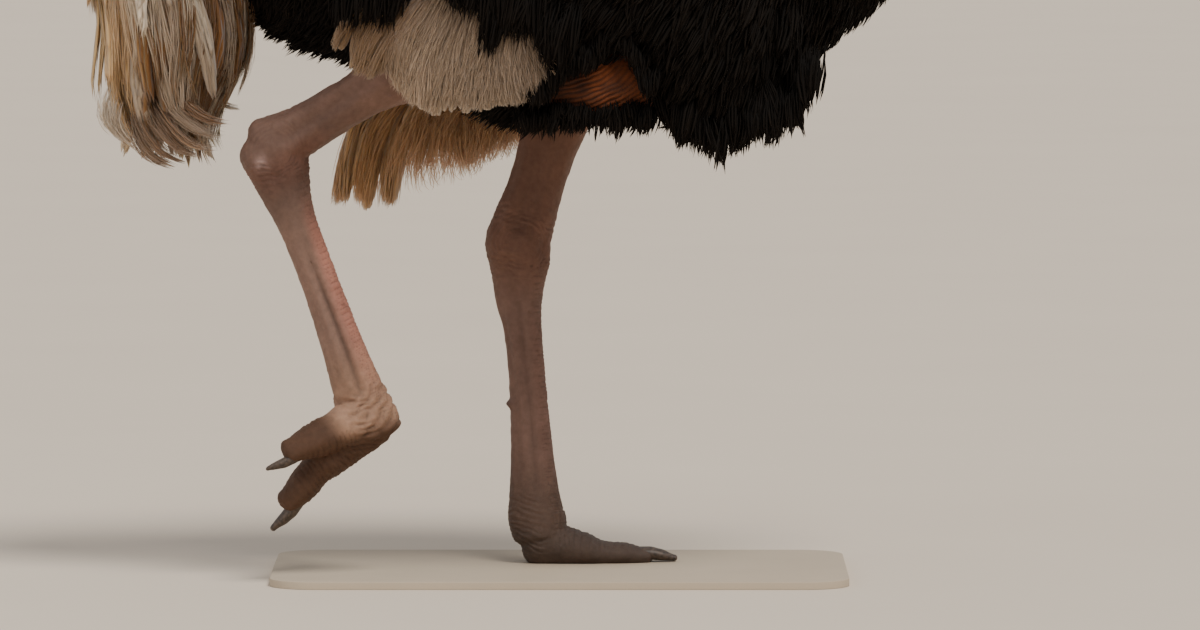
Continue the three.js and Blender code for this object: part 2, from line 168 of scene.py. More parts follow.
def loft(rows, around=40, steps=8, along=None, domes=(0, 0)):
    """A closed surface through rings of (x, y, z, fore, aft, side): its points and its four-sided faces."""
    rows = np.asarray(rows, float)
    last = len(rows) - 1
    t = np.linspace(0, last, last * steps + 1)
    value = through(rows, t)
    centre, sizes = value[:, :3], np.maximum(value[:, 3:], 0.5 * MM)
    if along is None:
        ahead, behind = through(rows, np.minimum(t + 0.05, last)), through(rows, np.maximum(t - 0.05, 0))
        tangent = ahead[:, :3] - behind[:, :3]
    else:
        tangent = np.tile(along, (len(t), 1))
    tangent = unit(tangent)
    turn = np.radians(np.array(DOME_ANGLES))[:, None]
    rings = [(centre, tangent, sizes)]
    if domes[1]:
        c = centre[-1] + tangent[-1] * domes[1] * np.sin(turn)
        rings.append((c, np.tile(tangent[-1], (len(turn), 1)), sizes[-1] * np.cos(turn)))
    if domes[0]:
        c = (centre[0] - tangent[0] * domes[0] * np.sin(turn))[::-1]
        rings.insert(0, (c, np.tile(tangent[0], (len(turn), 1)), (sizes[0] * np.cos(turn))[::-1]))
    centre, tangent, sizes = (np.concatenate([r[k] for r in rings]) for k in range(3))
    side = unit(ACROSS - tangent * (tangent @ ACROSS)[:, None])
    fore = np.cross(tangent, side)
    angle = 2 * np.pi * np.arange(around) / around
    up = np.sin(angle)[None, :]
    reach = np.where(up > 0, sizes[:, 0:1], sizes[:, 1:2]) * up
    points = centre[:, None] + side[:, None] * (sizes[:, 2:3] * np.cos(angle))[:, :, None]
    points = points + fore[:, None] * reach[:, :, None]
    count = len(centre)
    points = np.concatenate([points.reshape(-1, 3), centre[:1], centre[-1:]])
    i, j = np.meshgrid(np.arange(count - 1), np.arange(around), indexing="ij")
    k = (j + 1) % around
    here, beyond = i * around, (i + 1) * around
    quads = np.stack([here + j, here + k, beyond + k, beyond + j], -1).reshape(-1, 4)
    ring = np.arange(around)
    after = (ring + 1) % around
    tip, end = np.full(around, count * around), (count - 1) * around
    start_cap, end_cap = np.stack([tip, after, ring], -1), np.stack([tip + 1, end + ring, end + after], -1)
    return points, quads, np.concatenate([start_cap, end_cap])


def ball(at, radii, around=32, up=20):
    """A ball of three half-sizes."""
    lift = np.linspace(-radii[2], radii[2], up)[1:-1]
    wide = np.sqrt(np.maximum(1 - (lift / radii[2]) ** 2, 0))
    rows = [(at[0], at[1], at[2] + z, radii[0] * w, radii[0] * w, radii[1] * w) for z, w in zip(lift, wide)]
    return loft(rows, around, 1, along=np.array([0, 0, 1.0]), domes=(radii[2] * 0.02, radii[2] * 0.02))


def build_mesh(name, points, quads=None, triangles=None):
    """A mesh object from arrays, shaded smooth."""
    mesh = bpy.data.meshes.new(name)
    parts = [f for f in (quads, triangles) if f is not None and len(f)]
    corners = np.concatenate([f.reshape(-1) for f in parts]).astype(np.int32)
    sizes = np.concatenate([np.full(len(f), f.shape[1]) for f in parts]).astype(np.int32)
    mesh.vertices.add(len(points))
    mesh.vertices.foreach_set("co", np.asarray(points, np.float32).reshape(-1))
    mesh.loops.add(len(corners))
    mesh.loops.foreach_set("vertex_index", corners)
    mesh.polygons.add(len(sizes))
    starts = np.concatenate([[0], np.cumsum(sizes)[:-1]]).astype(np.int32)
    mesh.polygons.foreach_set("loop_start", starts)
    mesh.update(calc_edges=True)
    mesh.polygons.foreach_set("use_smooth", np.ones(len(sizes), bool))
    body = bpy.data.objects.new(name, mesh)
    bpy.context.scene.collection.objects.link(body)
    return body


def merged(parts):
    """Several lofts as one set of arrays."""
    points, quads, triangles, start = [], [], [], 0
    for p, q, t in parts:
        points.append(p)
        quads.append(q + start)
        triangles.append(t + start)
        start += len(p)
    return np.concatenate(points), np.concatenate(quads), np.concatenate(triangles)


def all_triangles(quads, triangles):
    return np.concatenate([quads[:, [0, 1, 2]], quads[:, [0, 2, 3]], triangles])


def solid_volume(points, triangles):
    a, b, c = (points[triangles[:, k]] for k in range(3))
    return dots(np.cross(a, b), c).sum() / 6


def outward(part):
    """A loft with its faces turned outwards."""
    points, quads, triangles = part
    if solid_volume(points, all_triangles(quads, triangles)) < 0:
        return points, quads[:, ::-1], triangles[:, ::-1]
    return part


def read_vectors(source, key):
    found = np.empty(len(source) * 3, np.float32)
    source.foreach_get(key, found)
    return found.reshape(-1, 3).astype(float)


def points_of(body):
    return read_vectors(body.data.vertices, "co")


def normals_of(body):
    return read_vectors(body.data.vertex_normals, "vector")


def set_points(body, points):
    body.data.vertices.foreach_set("co", np.asarray(points, np.float32).reshape(-1))
    body.data.update()


def choose(body):
    bpy.ops.object.select_all(action="DESELECT")
    body.select_set(True)
    bpy.context.view_layer.objects.active = body


def apply_modifier(body, kind, **settings):
    modifier = body.modifiers.new(kind.lower(), kind)
    for key, value in settings.items():
        setattr(modifier, key, value)
    choose(body)
    bpy.ops.object.modifier_apply(modifier=modifier.name)


def grown_together(name, parts, voxel, smoothing):
    """Lofts that overlap, as one skin with no seams."""
    body = build_mesh(name, *merged([outward(p) for p in parts]))
    apply_modifier(body, "REMESH", mode="VOXEL", voxel_size=voxel, use_smooth_shade=True)
    apply_modifier(body, "SMOOTH", factor=0.5, iterations=smoothing)
    return body


def thin_out(body, triangles):
    body.data.calc_loop_triangles()
    share = triangles / len(body.data.loop_triangles)
    if share < 1:
        apply_modifier(body, "DECIMATE", ratio=share)


def join(bodies, name):
    choose(bodies[0])
    for body in bodies:
        body.select_set(True)
    bpy.ops.object.join()
    bodies[0].name = bodies[0].data.name = name
    return bodies[0]


def colour_points(body, name, values):
    """Colours from an array as an attribute of the points."""
    attribute = body.data.attributes.new(name, "FLOAT_COLOR", "POINT")
    values = np.asarray(values, np.float32)
    if values.shape[1] == 3:
        values = np.concatenate([values, np.ones((len(values), 1), np.float32)], 1)
    attribute.data.foreach_set("color", values.reshape(-1))


def paint(red, green, blue):
    """A colour as seen, 0 to 255, as light."""
    c = np.array([red, green, blue]) / 255
    return np.where(c < 0.04045, c / 12.92, ((c + 0.055) / 1.055) ** 2.4)


def blend(a, b, share):
    share = np.asarray(share)[..., None]
    return a * (1 - share) + b * share


def rows_of(value, count):
    """One colour or direction, once for each point."""
    return np.tile(value, (count, 1))


def layered(colour, *layers):
    """A colour with others laid over it, each a tone and its share."""
    for tone, share in layers:
        colour = blend(colour, tone, share)
    return colour


# ---------- the bones' places ----------


def swing(start, length, degrees, step):
    a = math.radians(degrees)
    run = math.sqrt(length**2 - step**2)
    return start + np.array([run * math.sin(a), step, -run * math.cos(a)])


def joints(pose, hip_height):
    side = pose["side"]
    hip = np.array([HIP_X, side * HIP_HALF, hip_height], float)
    knee = swing(hip, FEMUR, pose["femur"], side * pose["out"][0])
    ankle = swing(knee, TIBIA, pose["tibia"], side * pose["out"][1])
    foot = swing(ankle, TARSUS, pose["tarsus"], side * pose["out"][2])
    return dict(hip=hip * MM, knee=knee * MM, ankle=ankle * MM, foot=foot * MM, side=side)


HIP_HEIGHT = SOLE + FOOT_JOINT - joints(STANDING, 0)["foot"][2] / MM
LEFT_LEG = joints(STANDING, HIP_HEIGHT)
RIGHT_LEG = joints(LIFTED, HIP_HEIGHT)

# ---------- skin: legs and feet ----------


def between(a, b, share, fore, aft, side, shift=0.0):
    p = a + (b - a) * share
    return (p[0] + shift * MM, p[1], p[2], fore * MM, aft * MM, side * MM)


def bone_loft(a, b, stations, domes):
    """A limb through rings along a bone: share of the way, fore, aft and side, and perhaps a shift in x."""
    return loft([between(a, b, *station) for station in stations], 48, 10, domes=domes)


def turning(axis, degrees):
    return np.array(Matrix.Rotation(math.radians(degrees), 4, axis))


def moving(x, y, z):
    return np.array(Matrix.Translation((x, y, z)))


def placed(part, matrix):
    points, quads, triangles = part
    return points @ matrix[:3, :3].T + matrix[:3, 3], quads, triangles


TARSUS_STATIONS = [
    (0.0, 49, 55, 40), (0.07, 46, 50, 37), (0.15, 37, 42, 31, -2), (0.26, 29, 33, 25, -2),
    (0.4, 28, 30, 22, -1), (0.55, 29, 31, 22), (0.7, 32, 34, 25), (0.84, 37, 40, 29), (0.94, 44, 45, 34),
    (1.0, 46, 40, 37),
]


def shank_part(leg, bent):
    calf, shin = (1.1, 0.84) if bent else (1, 1)
    stations = [
        (-0.12, 92, 118 * calf, 86), (0.1, 92, 122 * calf, 84), (0.3, 78, 98 * calf, 70),
        (0.5, 58, 70 * calf, 52), (0.66, 46 * shin, 50 * shin, 41), (0.8, 42 * shin, 46 * shin, 37),
        (0.92, 45 * shin, 52 * shin, 38), (1.0, 48 * shin, 55, 40),
    ]
    return bone_loft(leg["knee"], leg["ankle"], stations, (60 * MM, 34 * MM))


def tarsus_part(leg):
    return bone_loft(leg["ankle"], leg["foot"], TARSUS_STATIONS, (36 * MM, 20 * MM))


INNER_TOE = [(0, 74, 33), (40, 58, 37), (78, 44, 38), (110, 32, 33), (146, 28, 30), (168, 21, 22)]
OUTER_TOE = [(0, 60, 24), (38, 45, 27), (72, 35, 25), (100, 27, 21), (120, 19, 15)]
INNER_CLAW = [(156, 23, 6, 15), (174, 24, 3, 17), (196, 20, 2, 15), (216, 12, 2, 9)]
OUTER_CLAW = [(108, 20, 4, 10), (128, 20, 3, 11), (148, 16, 2, 9), (164, 9, 2, 6)]
FLAT_FOOT = dict(pad=9, pitch=0, curl=0, turn=4, spread=27)
HUNG_FOOT = dict(pad=18, pitch=125, curl=21, turn=3, spread=19)


def toe_part(stations, pad):
    """A toe from stations of distance, top and half-width, its flesh reaching a pad's depth below."""
    rows = []
    for d, top, half in stations:
        middle = top * 0.42
        rows.append(mm(d, 0, middle - FOOT_JOINT, top - middle, middle + pad, half))
    return loft(rows, 40, 12, FORWARD, (26 * MM, 13 * MM))


def claw_part(stations):
    """A claw from stations of distance, top, bottom and half-width."""
    rows = []
    for d, top, bottom, half in stations:
        height = (top - bottom) / 2
        rows.append(mm(d, 0, (top + bottom) / 2 - FOOT_JOINT, height, height, half))
    return loft(rows, 28, 8, FORWARD, (2 * MM, 5 * MM))


def foot_places(leg, shape):
    """Where the inner and outer toe lie: matrices from a toe's own frame, +x along it."""
    side = leg["side"]
    place = moving(*leg["foot"]) @ turning("Z", side * shape["turn"]) @ turning("Y", shape["pitch"])
    outer = moving(4 * MM, side * 24 * MM, 0) @ turning("Z", side * shape["spread"])
    return place, place @ (outer @ turning("Y", shape["curl"]))


def bone_place(points, start, end):
    """Along a bone from 0 to 1, the angle round it from the front, and the distance from its line."""
    way = unit(end - start)
    side = unit(ACROSS - way * way[1])
    fore = np.cross(way, side)
    fore = fore if fore[0] > 0 else -fore
    rel = points - start
    along = rel @ way / np.linalg.norm(end - start)
    angle = np.arctan2(rel @ side, rel @ fore)
    away = np.hypot(rel @ side, rel @ fore)
    return along, angle, away


def plates(along, step, seed=0):
    """A row of plates that overlap like tiles: high at each plate's lower edge, sharp crease after it."""
    q = along / step + 0.35 * np.sin(along / step * 0.9 + seed)
    f = q - np.floor(q)
    return f**1.5 - 1.4 * bell(f, 0, 0.09) - 1.4 * bell(f, 1, 0.09)


def leg_relief(points, leg, shape, bent):
    """How far the skin stands out at each point, and how deep in a crease it lies, from 0 to 1."""
    knee, ankle, foot = leg["knee"], leg["ankle"], leg["foot"]
    t, angle, away = bone_place(points, ankle, foot)
    s, turn, _ = bone_place(points, knee, ankle)
    height = points[:, 2]
    round_angle = np.abs(angle)
    wave = rumple(points, 0.016, 3)
    on_tarsus = within(t, 0.03, 0.09, 0.97, 1.03)
    rise = np.zeros(len(points))
    crease = np.zeros(len(points))

    # broad scutes down the front of the tarsus
    length = TARSUS * MM
    place = t * length + 0.0016 * wave + 0.004 * np.cos(angle)
    tile = plates(place, 0.0072 - 0.0014 * ease(np.abs(t - 0.45), 0.2, 0.5), leg["side"])
    front = on_tarsus * ease(np.cos(angle), 0.42, 0.72)
    rise += (0.0008 if bent else 0.0007) * tile * front
    crease += front * np.clip(-tile, 0, 1) * 0.8

    # the channel between bone and tendons on each side
    at = 1.82 - 0.35 * ease(t, 0.15, 0.75)
    begins = ease(t, 0.22, 0.55) if bent else ease(t, 0.09, 0.25)
    channel = begins * (1 - ease(t, 0.82, 0.93)) * bell(round_angle, at, 0.22)
    rise -= (0.005 if bent else 0.0024) * channel
    rise += 0.0024 * begins * (1 - ease(t, 0.75, 0.9)) * bell(round_angle, at + 0.55, 0.26)
    rise -= 0.0012 * begins * (1 - ease(t, 0.7, 0.9)) * bell(round_angle, at + 0.95, 0.14)
    crease += (1.0 if bent else 0.4) * channel**2

    # folds of loose skin near the toe joint and under the ankle
    close = 1 - ease(away, 0.046, 0.066)
    low = within(t, 0.8, 0.93, 1.04, 1.1) * ease(-np.cos(angle), -0.65, 0.1) * close
    folds = np.sin((place + 0.012 * np.sin(angle * 1.5)) / 0.0092 * 2 * np.pi + 2.2 * wave)
    folds = folds * (0.7 + 0.3 * rumple(points, 0.02, 9))
    if bent:
        broad = np.sin((place + 0.03 * np.sin(angle + 0.6)) / 0.021 * 2 * np.pi + 1.6 * wave)
        loose = within(t, 0.8, 0.9, 1.0, 1.06) * close
        rise += 0.0017 * loose * broad
        crease += 0.5 * loose * ease(-broad, 0.6, 1)
    rise += (0.0018 if bent else 0.0013) * low * folds
    crease += low * ease(-folds, 0.35, 1) * 0.7
    high = within(t, -0.02, 0.04, 0.1, 0.17) * ease(-np.cos(angle), -0.3, 0.5)
    rise += 0.0008 * high * folds
    crease += high * ease(-folds, 0.5, 1) * 0.4

    # knuckles of the ankle, and the hollow between them at the back
    ball_at = bell(t, 0.0, 0.075) * (0.5 + 0.5 * ease(t, -0.12, 0.0))
    rise += 0.005 * ball_at * bell(round_angle, 1.35, 0.5)
    rise -= 0.003 * bell(t, 0.02, 0.07) * bell(round_angle, 0.55, 0.22)
    rise += 0.003 * bell(t, 0.035, 0.045) * bell(round_angle, 2.45, 0.4)
    rise -= 0.0035 * bell(t, 0.075, 0.03) * bell(round_angle, 1.95, 0.3)
    # slack skin wrinkled round the knuckles
    rel = points - ankle
    from_joint = np.hypot(rel[:, 0], rel[:, 2])
    wander = rumple(points, 0.02, 11)
    ripple = np.sin(from_joint / 0.0068 * 2 * np.pi + 3.4 * wander + 1.2 * np.sin(2 * angle))
    slack_here = bell(from_joint, 0.036, 0.02) * (np.abs(rel[:, 1]) < 0.08)
    slack_here = slack_here * (0.55 + 0.45 * rumple(points, 0.013, 12))
    rise += 0.0008 * slack_here * ripple
    crease += 0.65 * slack_here * ease(-ripple, 0.3, 1)

    # the shank: tendons, slack skin and creases near the ankle
    on_shank = (1 - ease(s, 0.95, 1.0)) * (t < 0.5)
    tendon = bell(np.abs(turn), 2.35, 0.25) * ease(s, 0.45, 0.8)
    hollow = bell(np.abs(turn), 1.75, 0.28)
    rise += 0.0034 * on_shank * tendon - 0.0036 * on_shank * hollow * ease(s, 0.5, 0.8)
    strands = np.sin(turn * 7 + 2.2 * rumple(points * np.array([1.0, 1.0, 0.3]), 0.03, 13))
    rise += 0.0007 * on_shank * strands * ease(s, 0.15, 0.4)
    crease += 0.25 * on_shank * ease(-strands, 0.5, 1) * ease(s, 0.15, 0.4)
    slack = rumple(points * np.array([1.0, 1.0, 0.42]), 0.02, 5)
    rise += 0.0019 * on_shank * slack * (1 - 0.5 * ease(s, 0.5, 0.9))
    rings = np.sin(s * TIBIA * MM / 0.011 * 2 * np.pi + 2.6 * wave + 1.2 * np.sin(turn * 2))
    near = ease(s, 0.8, 0.95) * on_shank
    rings = rings * (0.5 + 0.5 * rumple(points, 0.018, 7))
    rise += 0.0008 * near * rings
    crease += 0.4 * near * ease(-rings, 0.4, 1)

    # toes: plates on top, pads below
    for matrix, long in zip(foot_places(leg, shape), (0.18, 0.13)):
        own = (points - matrix[:3, 3]) @ matrix[:3, :3]
        on_toe = within(own[:, 0], 0.012, 0.04, long - 0.002, long + 0.01)
        on_toe = on_toe * (np.abs(own[:, 1]) < 0.046) * (own[:, 2] < 0.036) * (t > 0.9)
        top = ease(own[:, 2] + FOOT_JOINT * MM, 0.016, 0.026) * on_toe
        tile = plates(own[:, 0] + 0.1 * np.abs(own[:, 1]) + 0.0022 * wave, 0.0088, 2)
        rise += 0.0009 * top * tile
        crease += 0.6 * top * np.clip(-tile, 0, 1)
        under = ease(-own[:, 2] - FOOT_JOINT * MM, -0.008, 0.002) * on_toe
        bumps = np.abs(rumple(points, 0.0042, 8))
        rise += 0.001 * under * bumps
        rise += 0.0015 * on_toe * np.sin(own[:, 0] / 0.052 * np.pi) ** 2
    rise += 0.00035 * rumple(points, 0.006, 4) + 0.0005 * rumple(points, 0.011, 6)
    if not bent:
        rise *= np.where(height < SOLE * MM + 0.006, 0.3, 1)
        # a worn callus at the back of the ankle and another half-way down
        callus = bell(height, 0.418, 0.03) * bell(round_angle, 3.14, 0.55) * (t < 0.5)
        knob = bell(height, 0.262, 0.0062) * bell(round_angle, 3.14, 0.4) * (t > 0.2)
        rise += 0.004 * callus + 0.0062 * knob
        crease = crease + 0.9 * knob
    return rise, np.clip(crease, 0, 1)


THIGH_STATIONS = [(0.15, 120, 130, 70), (0.45, 128, 130, 84), (0.75, 120, 126, 88), (1.0, 98, 112, 82)]


def thigh_part(leg):
    """The thigh's bare flank, from inside the body to the top of the shank."""
    out = leg["side"] * 26
    rows = []
    for station in THIGH_STATIONS:
        x, y, z, *sizes = between(leg["hip"], leg["knee"], *station)
        rows.append((x, y + out * MM * (1 - station[0]) + 0.018 * leg["side"], z, *sizes))
    return loft(rows, 48, 10, domes=(50 * MM, 40 * MM))


SKIN_RED = paint(132, 84, 66)
SKIN_DARK = paint(56, 38, 30)
SKIN_THIGH = paint(122, 74, 46)
# Lit and shaded copies of one skin: the lifted leg's tones are painted light, brighter and pinker low down
# the tarsus; the standing leg's are painted shade under the body.
LIT_LEG_SKIN = dict(
    shank=paint(116, 87, 74), tarsus=paint(136, 106, 92), front=paint(177, 121, 104),
    toe=paint(84, 56, 37), low=paint(160, 124, 100), top=1.34,
)
SHADED_LEG_SKIN = dict(
    shank=paint(114, 80, 64), tarsus=paint(121, 92, 80), front=paint(124, 92, 80),
    toe=paint(77, 61, 51), low=paint(88, 67, 55), top=1.16,
)
ANKLE_HIGHLIGHT, HIGHLIGHT_AT = paint(190, 158, 150), (-0.461, 0.655)  # a painted highlight on the lifted ankle


def leg_colour(points, leg, shape, bent):
    """Greyish pink skin, redder at the bend of the ankle, paler down the front, browner on the toes; the
    lifted leg painted lit, the standing leg painted in the body's shade, and the creases painted shade.
    """
    knee, ankle, foot = leg["knee"], leg["ankle"], leg["foot"]
    _, crease = leg_relief(points, leg, shape, bent)
    t, angle, _ = bone_place(points, ankle, foot)
    s, turn, _ = bone_place(points, knee, ankle)
    tone = LIT_LEG_SKIN if bent else SHADED_LEG_SKIN
    mottle = 0.5 + 0.5 * rumple(points, 0.03, 21)
    small = 0.5 + 0.5 * rumple(points, 0.009, 22)
    inner_bend = ease(s, 0.8, 0.93) * (1 - ease(t, 0.08, 0.2)) * ease(np.cos(turn), -0.1, 0.7)
    colour = layered(
        rows_of(tone["shank"], len(points)),
        (tone["tarsus"], ease(t, 0.04, 0.25)),
        (tone["front"], ease(np.cos(angle), 0.1, 0.8) * ease(t, 0.12, 0.35)),
        (tone["low"], ease(t, 0.62, 0.95)),
        (SKIN_RED, inner_bend * (0.45 if bent else 0.12)),
    )
    colour = blend(colour, colour * tone["top"], (1 - ease(s, 0.55, 0.85)) * (t < 0.5))
    if bent:
        # painted shade: darker near the top of the lifted leg's tarsus, in shade under the body
        colour = colour * (1 - 0.38 * bell(t, 0.15, 0.13))[:, None]
        # a painted highlight on the ankle's rear edge
        from_highlight = np.hypot(points[:, 0] - HIGHLIGHT_AT[0], points[:, 2] - HIGHLIGHT_AT[1])
        colour = blend(colour, ANKLE_HIGHLIGHT, bell(from_highlight, 0, 0.011) * (0.5 + 0.3 * rumple(points, 0.006, 23)))
    colour = layered(colour, (SKIN_THIGH, 1 - ease(s, -0.02, 0.16)), (tone["toe"], ease(t, 0.95, 1.03)))
    for matrix in foot_places(leg, shape):
        own = (points - matrix[:3, 3]) @ matrix[:3, :3]
        on_toe = ease(own[:, 0], 0.026, 0.062) * (np.abs(own[:, 1]) < 0.04)
        colour = blend(colour, tone["toe"], on_toe * (np.abs(own[:, 2] + 0.022) < 0.05) * (t > 0.85))
    colour = colour * (0.8 + 0.28 * mottle + 0.16 * small)[:, None]
    # painted shade: darker down in the creases, folds and channels; on the standing leg's wart the darkness
    # is its own
    return blend(colour, SKIN_DARK, crease * 0.5)


LEG_VOXEL, LEG_BUDGET = 0.0019, 47000
NECK_VOXEL, NECK_BUDGET = 0.0014, 57000


def leg_body(name, leg, shape, bent):
    """The thigh, shank, tarsus and toes as one skin, with their relief and markings."""
    inner, outer = foot_places(leg, shape)
    parts = [
        thigh_part(leg),
        shank_part(leg, bent),
        tarsus_part(leg),
        placed(toe_part(INNER_TOE, shape["pad"]), inner),
        placed(toe_part(OUTER_TOE, shape["pad"]), outer),
    ]
    body = grown_together(name, parts, LEG_VOXEL, 7)
    points = points_of(body)
    rise, _ = leg_relief(points, leg, shape, bent)
    points = points + normals_of(body) * rise[:, None]
    if not bent:
        points[:, 2] = np.maximum(points[:, 2], SOLE * MM)
    set_points(body, points)
    thin_out(body, LEG_BUDGET)
    colour_points(body, "hide", leg_colour(points_of(body), leg, shape, bent))
    return body


# ---------- skin: neck and head ----------

NECK_ROWS = [
    (400, 1080, 150, 150, 120), (455, 1165, 122, 112, 98), (520, 1262, 98, 92, 82), (572, 1368, 66, 66, 60),
    (606, 1500, 49, 51, 46), (622, 1650, 42, 45, 40), (625, 1805, 38, 40, 36), (624, 1960, 34, 37, 33),
    (632, 2100, 31.5, 34, 31), (657, 2212, 30, 32, 30), (694, 2282, 28, 27, 29),
]
HEAD_PLACE = moving(*mm(*HEAD_AT)) @ turning("Y", HEAD_PITCH)
HEAD_STATIONS = [  # along the head, its top and bottom, half its width, and the level where it is broadest
    (-77, 3, -22, 12, -9), (-66, 20, -32, 24, -6), (-48, 35, -42, 36, -2), (-22, 45, -46, 44, 2),
    (6, 48, -44, 46, 6), (30, 42, -39, 40, 2), (52, 25, -33, 34, -8), (78, 10, -29, 33, -13),
    (104, 3, -26, 30, -15), (124, -2, -24, 24, -16), (137, -8, -22, 14, -16),
]
HIDDEN_BY_BILL = [(70, 9, -26, 27, -11), (92, 1, -21, 18, -13)]
BILL_ROOT = [(28, 41.6, -38.6, 39.6, 0), (52, 26.0, -34.4, 35.2, -8)]


def skull_rows(stations):
    return [mm(x, 0, level, top - level, level - bottom, half) for x, top, bottom, half, level in stations]


def into_head(points):
    return (points - HEAD_PLACE[:3, 3]) @ HEAD_PLACE[:3, :3] / MM


def out_of_head(points):
    return points * MM @ HEAD_PLACE[:3, :3].T + HEAD_PLACE[:3, 3]


EYE_OPEN = (19.0, 14.5)  # half the length and half the height of the lids' opening
LID_TURN = math.radians(-8)
EAR_AT = (-30.0, 44.0, 0.0)


def mirrored(place, side):
    return np.array(place) * np.array([1, side, 1])


def lid_ring(p, side):
    """How far from an eye's middle, 1 at the opening; the same made uneven; the angle; and how far out."""
    rel = p - mirrored(EYE_AT, side)
    c, s = math.cos(LID_TURN), math.sin(LID_TURN)
    along = rel[:, 0] * c + rel[:, 2] * s
    up = -rel[:, 0] * s + rel[:, 2] * c
    q = np.sqrt((along / EYE_OPEN[0]) ** 2 + (up / EYE_OPEN[1]) ** 2)
    angle = np.arctan2(up, along)
    return q, q * (1 + 0.03 * np.sin(5 * angle)), angle, rel[:, 1] * side


def lid_line(angle, scale, lift, side):
    """Points along the lids' opening, scaled, at a lift over the eye's surface."""
    along, up = EYE_OPEN[0] * scale * np.cos(angle), EYE_OPEN[1] * scale * np.sin(angle)
    c, s = math.cos(LID_TURN), math.sin(LID_TURN)
    x, z = along * c - up * s, along * s + up * c
    y = np.sqrt(np.maximum((EYE_RADIUS + lift) ** 2 - x**2 - z**2, 4))
    return mirrored(EYE_AT, side) + np.stack([x, side * y, z], 1)


def lid_folds(ring, widths, heights):
    """The three folds round an eye."""
    folds = zip((1.38, 1.62, 1.92), widths, heights)
    return sum(height * bell(ring, at, width) for at, width, height in folds)


def shape_head(p):
    """Moves the head's skin, in its own frame: lids, ears, mouth, jaw and cheeks."""
    p = p.copy()
    for side in (1, -1):
        q, ring, angle, out = lid_ring(p, side)
        near = out > 2
        centre = mirrored(EYE_AT, side)
        rel = p - centre
        away = np.linalg.norm(rel, axis=1)
        # the lids cover the eye like a shell, and the opening lies behind the eye's surface
        lid = EYE_RADIUS + 2.0
        inside = near & (q < 0.93)
        shell = near & (q >= 0.93) & (away < lid + 26) & (q < 2.1)
        target = np.where(inside, EYE_RADIUS - 4.0, lid)
        weight = np.where(inside, 1.0, np.where(shell, 1 - ease(q, 1.25, 1.9), 0))
        reach = away + (target - away) * weight
        p = centre + rel * (reach / np.maximum(away, 1e-6))[:, None]
        # wrinkled folds round the lids
        uneven = 1 + 0.35 * np.sin(3 * angle + 1.0)
        fold = lid_folds(ring, (0.05, 0.06, 0.09), (1, 0.8, 0.45))
        rise = near * uneven * (0.9 * bell(ring, 1.5, 0.1) + 0.7 * bell(ring, 1.77, 0.1) - 1.5 * fold)
        p = p + unit(rel) * (rise * (q < 2.4))[:, None]
        # the ear, a round opening with a soft rim
        away = np.linalg.norm((p - mirrored(EAR_AT, side)) * np.array([1, 0.6, 1]), axis=1)
        p[:, 1] -= side * (5.5 * bell(away, 0, 4.2) - 1.6 * bell(away, 7.5, 2.2))
    # the mouth's line runs back to below the eye, with the jaw's edge under it
    x, y, z = p.T
    line = mouth_level(x)
    at_mouth = within(x, 2, 14, 54, 60)
    pull = 1.9 * at_mouth * bell(z, line, 1.6)
    swell = 1.0 * at_mouth * (bell(z, line + 4.2, 2.2) + bell(z, line - 4.4, 2.4))
    inwards = np.sign(y) * (pull - swell)
    p[:, 1] -= inwards * ease(np.abs(y), 4, 14)
    p[:, 1] += np.sign(y) * 2.2 * bell(x, -22, 12) * bell(z, -22, 12)
    p[:, 1] -= np.sign(y) * 2.4 * bell(x, 40, 11) * bell(z, 3, 10)
    return p


def mouth_level(x):
    return -13.0 - 0.05 * (x - 60) - 4 * ease(20 - x, 0, 20)


def head_part():
    """The face, drawn in where the horn of the bill covers it."""
    rows = skull_rows(HEAD_STATIONS[:7] + HIDDEN_BY_BILL)
    return placed(loft(rows, 64, 14, FORWARD, (4 * MM, 2 * MM)), HEAD_PLACE)


def brow_part(side):
    rows = [mm(-22, side * 36, 27, 6, 8, 9), mm(6, side * 41, 30, 8, 8, 10), mm(34, side * 33, 21, 6, 8, 8)]
    return placed(loft(rows, 24, 8, FORWARD, (8 * MM, 8 * MM)), HEAD_PLACE)


def neck_part():
    rows = [mm(x, 0, z, fore, aft, side) for x, z, fore, aft, side in NECK_ROWS]
    return loft(rows, 56, 12, domes=(20 * MM, 16 * MM))


def neck_relief(points):
    """Slack rings and loose wrinkles of skin down the neck."""
    height = points[:, 2]
    wave = rumple(points, 0.03, 31)
    rings = np.sin(height / 0.0145 * 2 * np.pi + 2.5 * wave)
    slack = rumple(points * np.array([1, 1, 2.2]), 0.022, 32)
    below = 1 - ease(height, 2.2, 2.3)
    return below * (0.0006 * rings + 0.0010 * slack) + 0.0003 * rumple(points, 0.005, 33)


NECK_SKIN = paint(186, 140, 122)
NECK_SHADE = paint(140, 100, 86)
FACE_SKIN = paint(178, 138, 118)
CROWN_SKIN = paint(120, 92, 76)
LID_SKIN, LID_EDGE, LID_RIM = paint(84, 60, 52), paint(50, 34, 30), paint(58, 42, 38)
# painted shade for the lids' folds, inside the lids' opening, the ear holes and the mouth's crease
LID_FOLD_SHADE, LID_INSIDE_SHADE = paint(62, 42, 36), paint(30, 20, 18)
EAR_SHADE, MOUTH_LINE_SHADE = paint(40, 26, 22), paint(66, 40, 34)


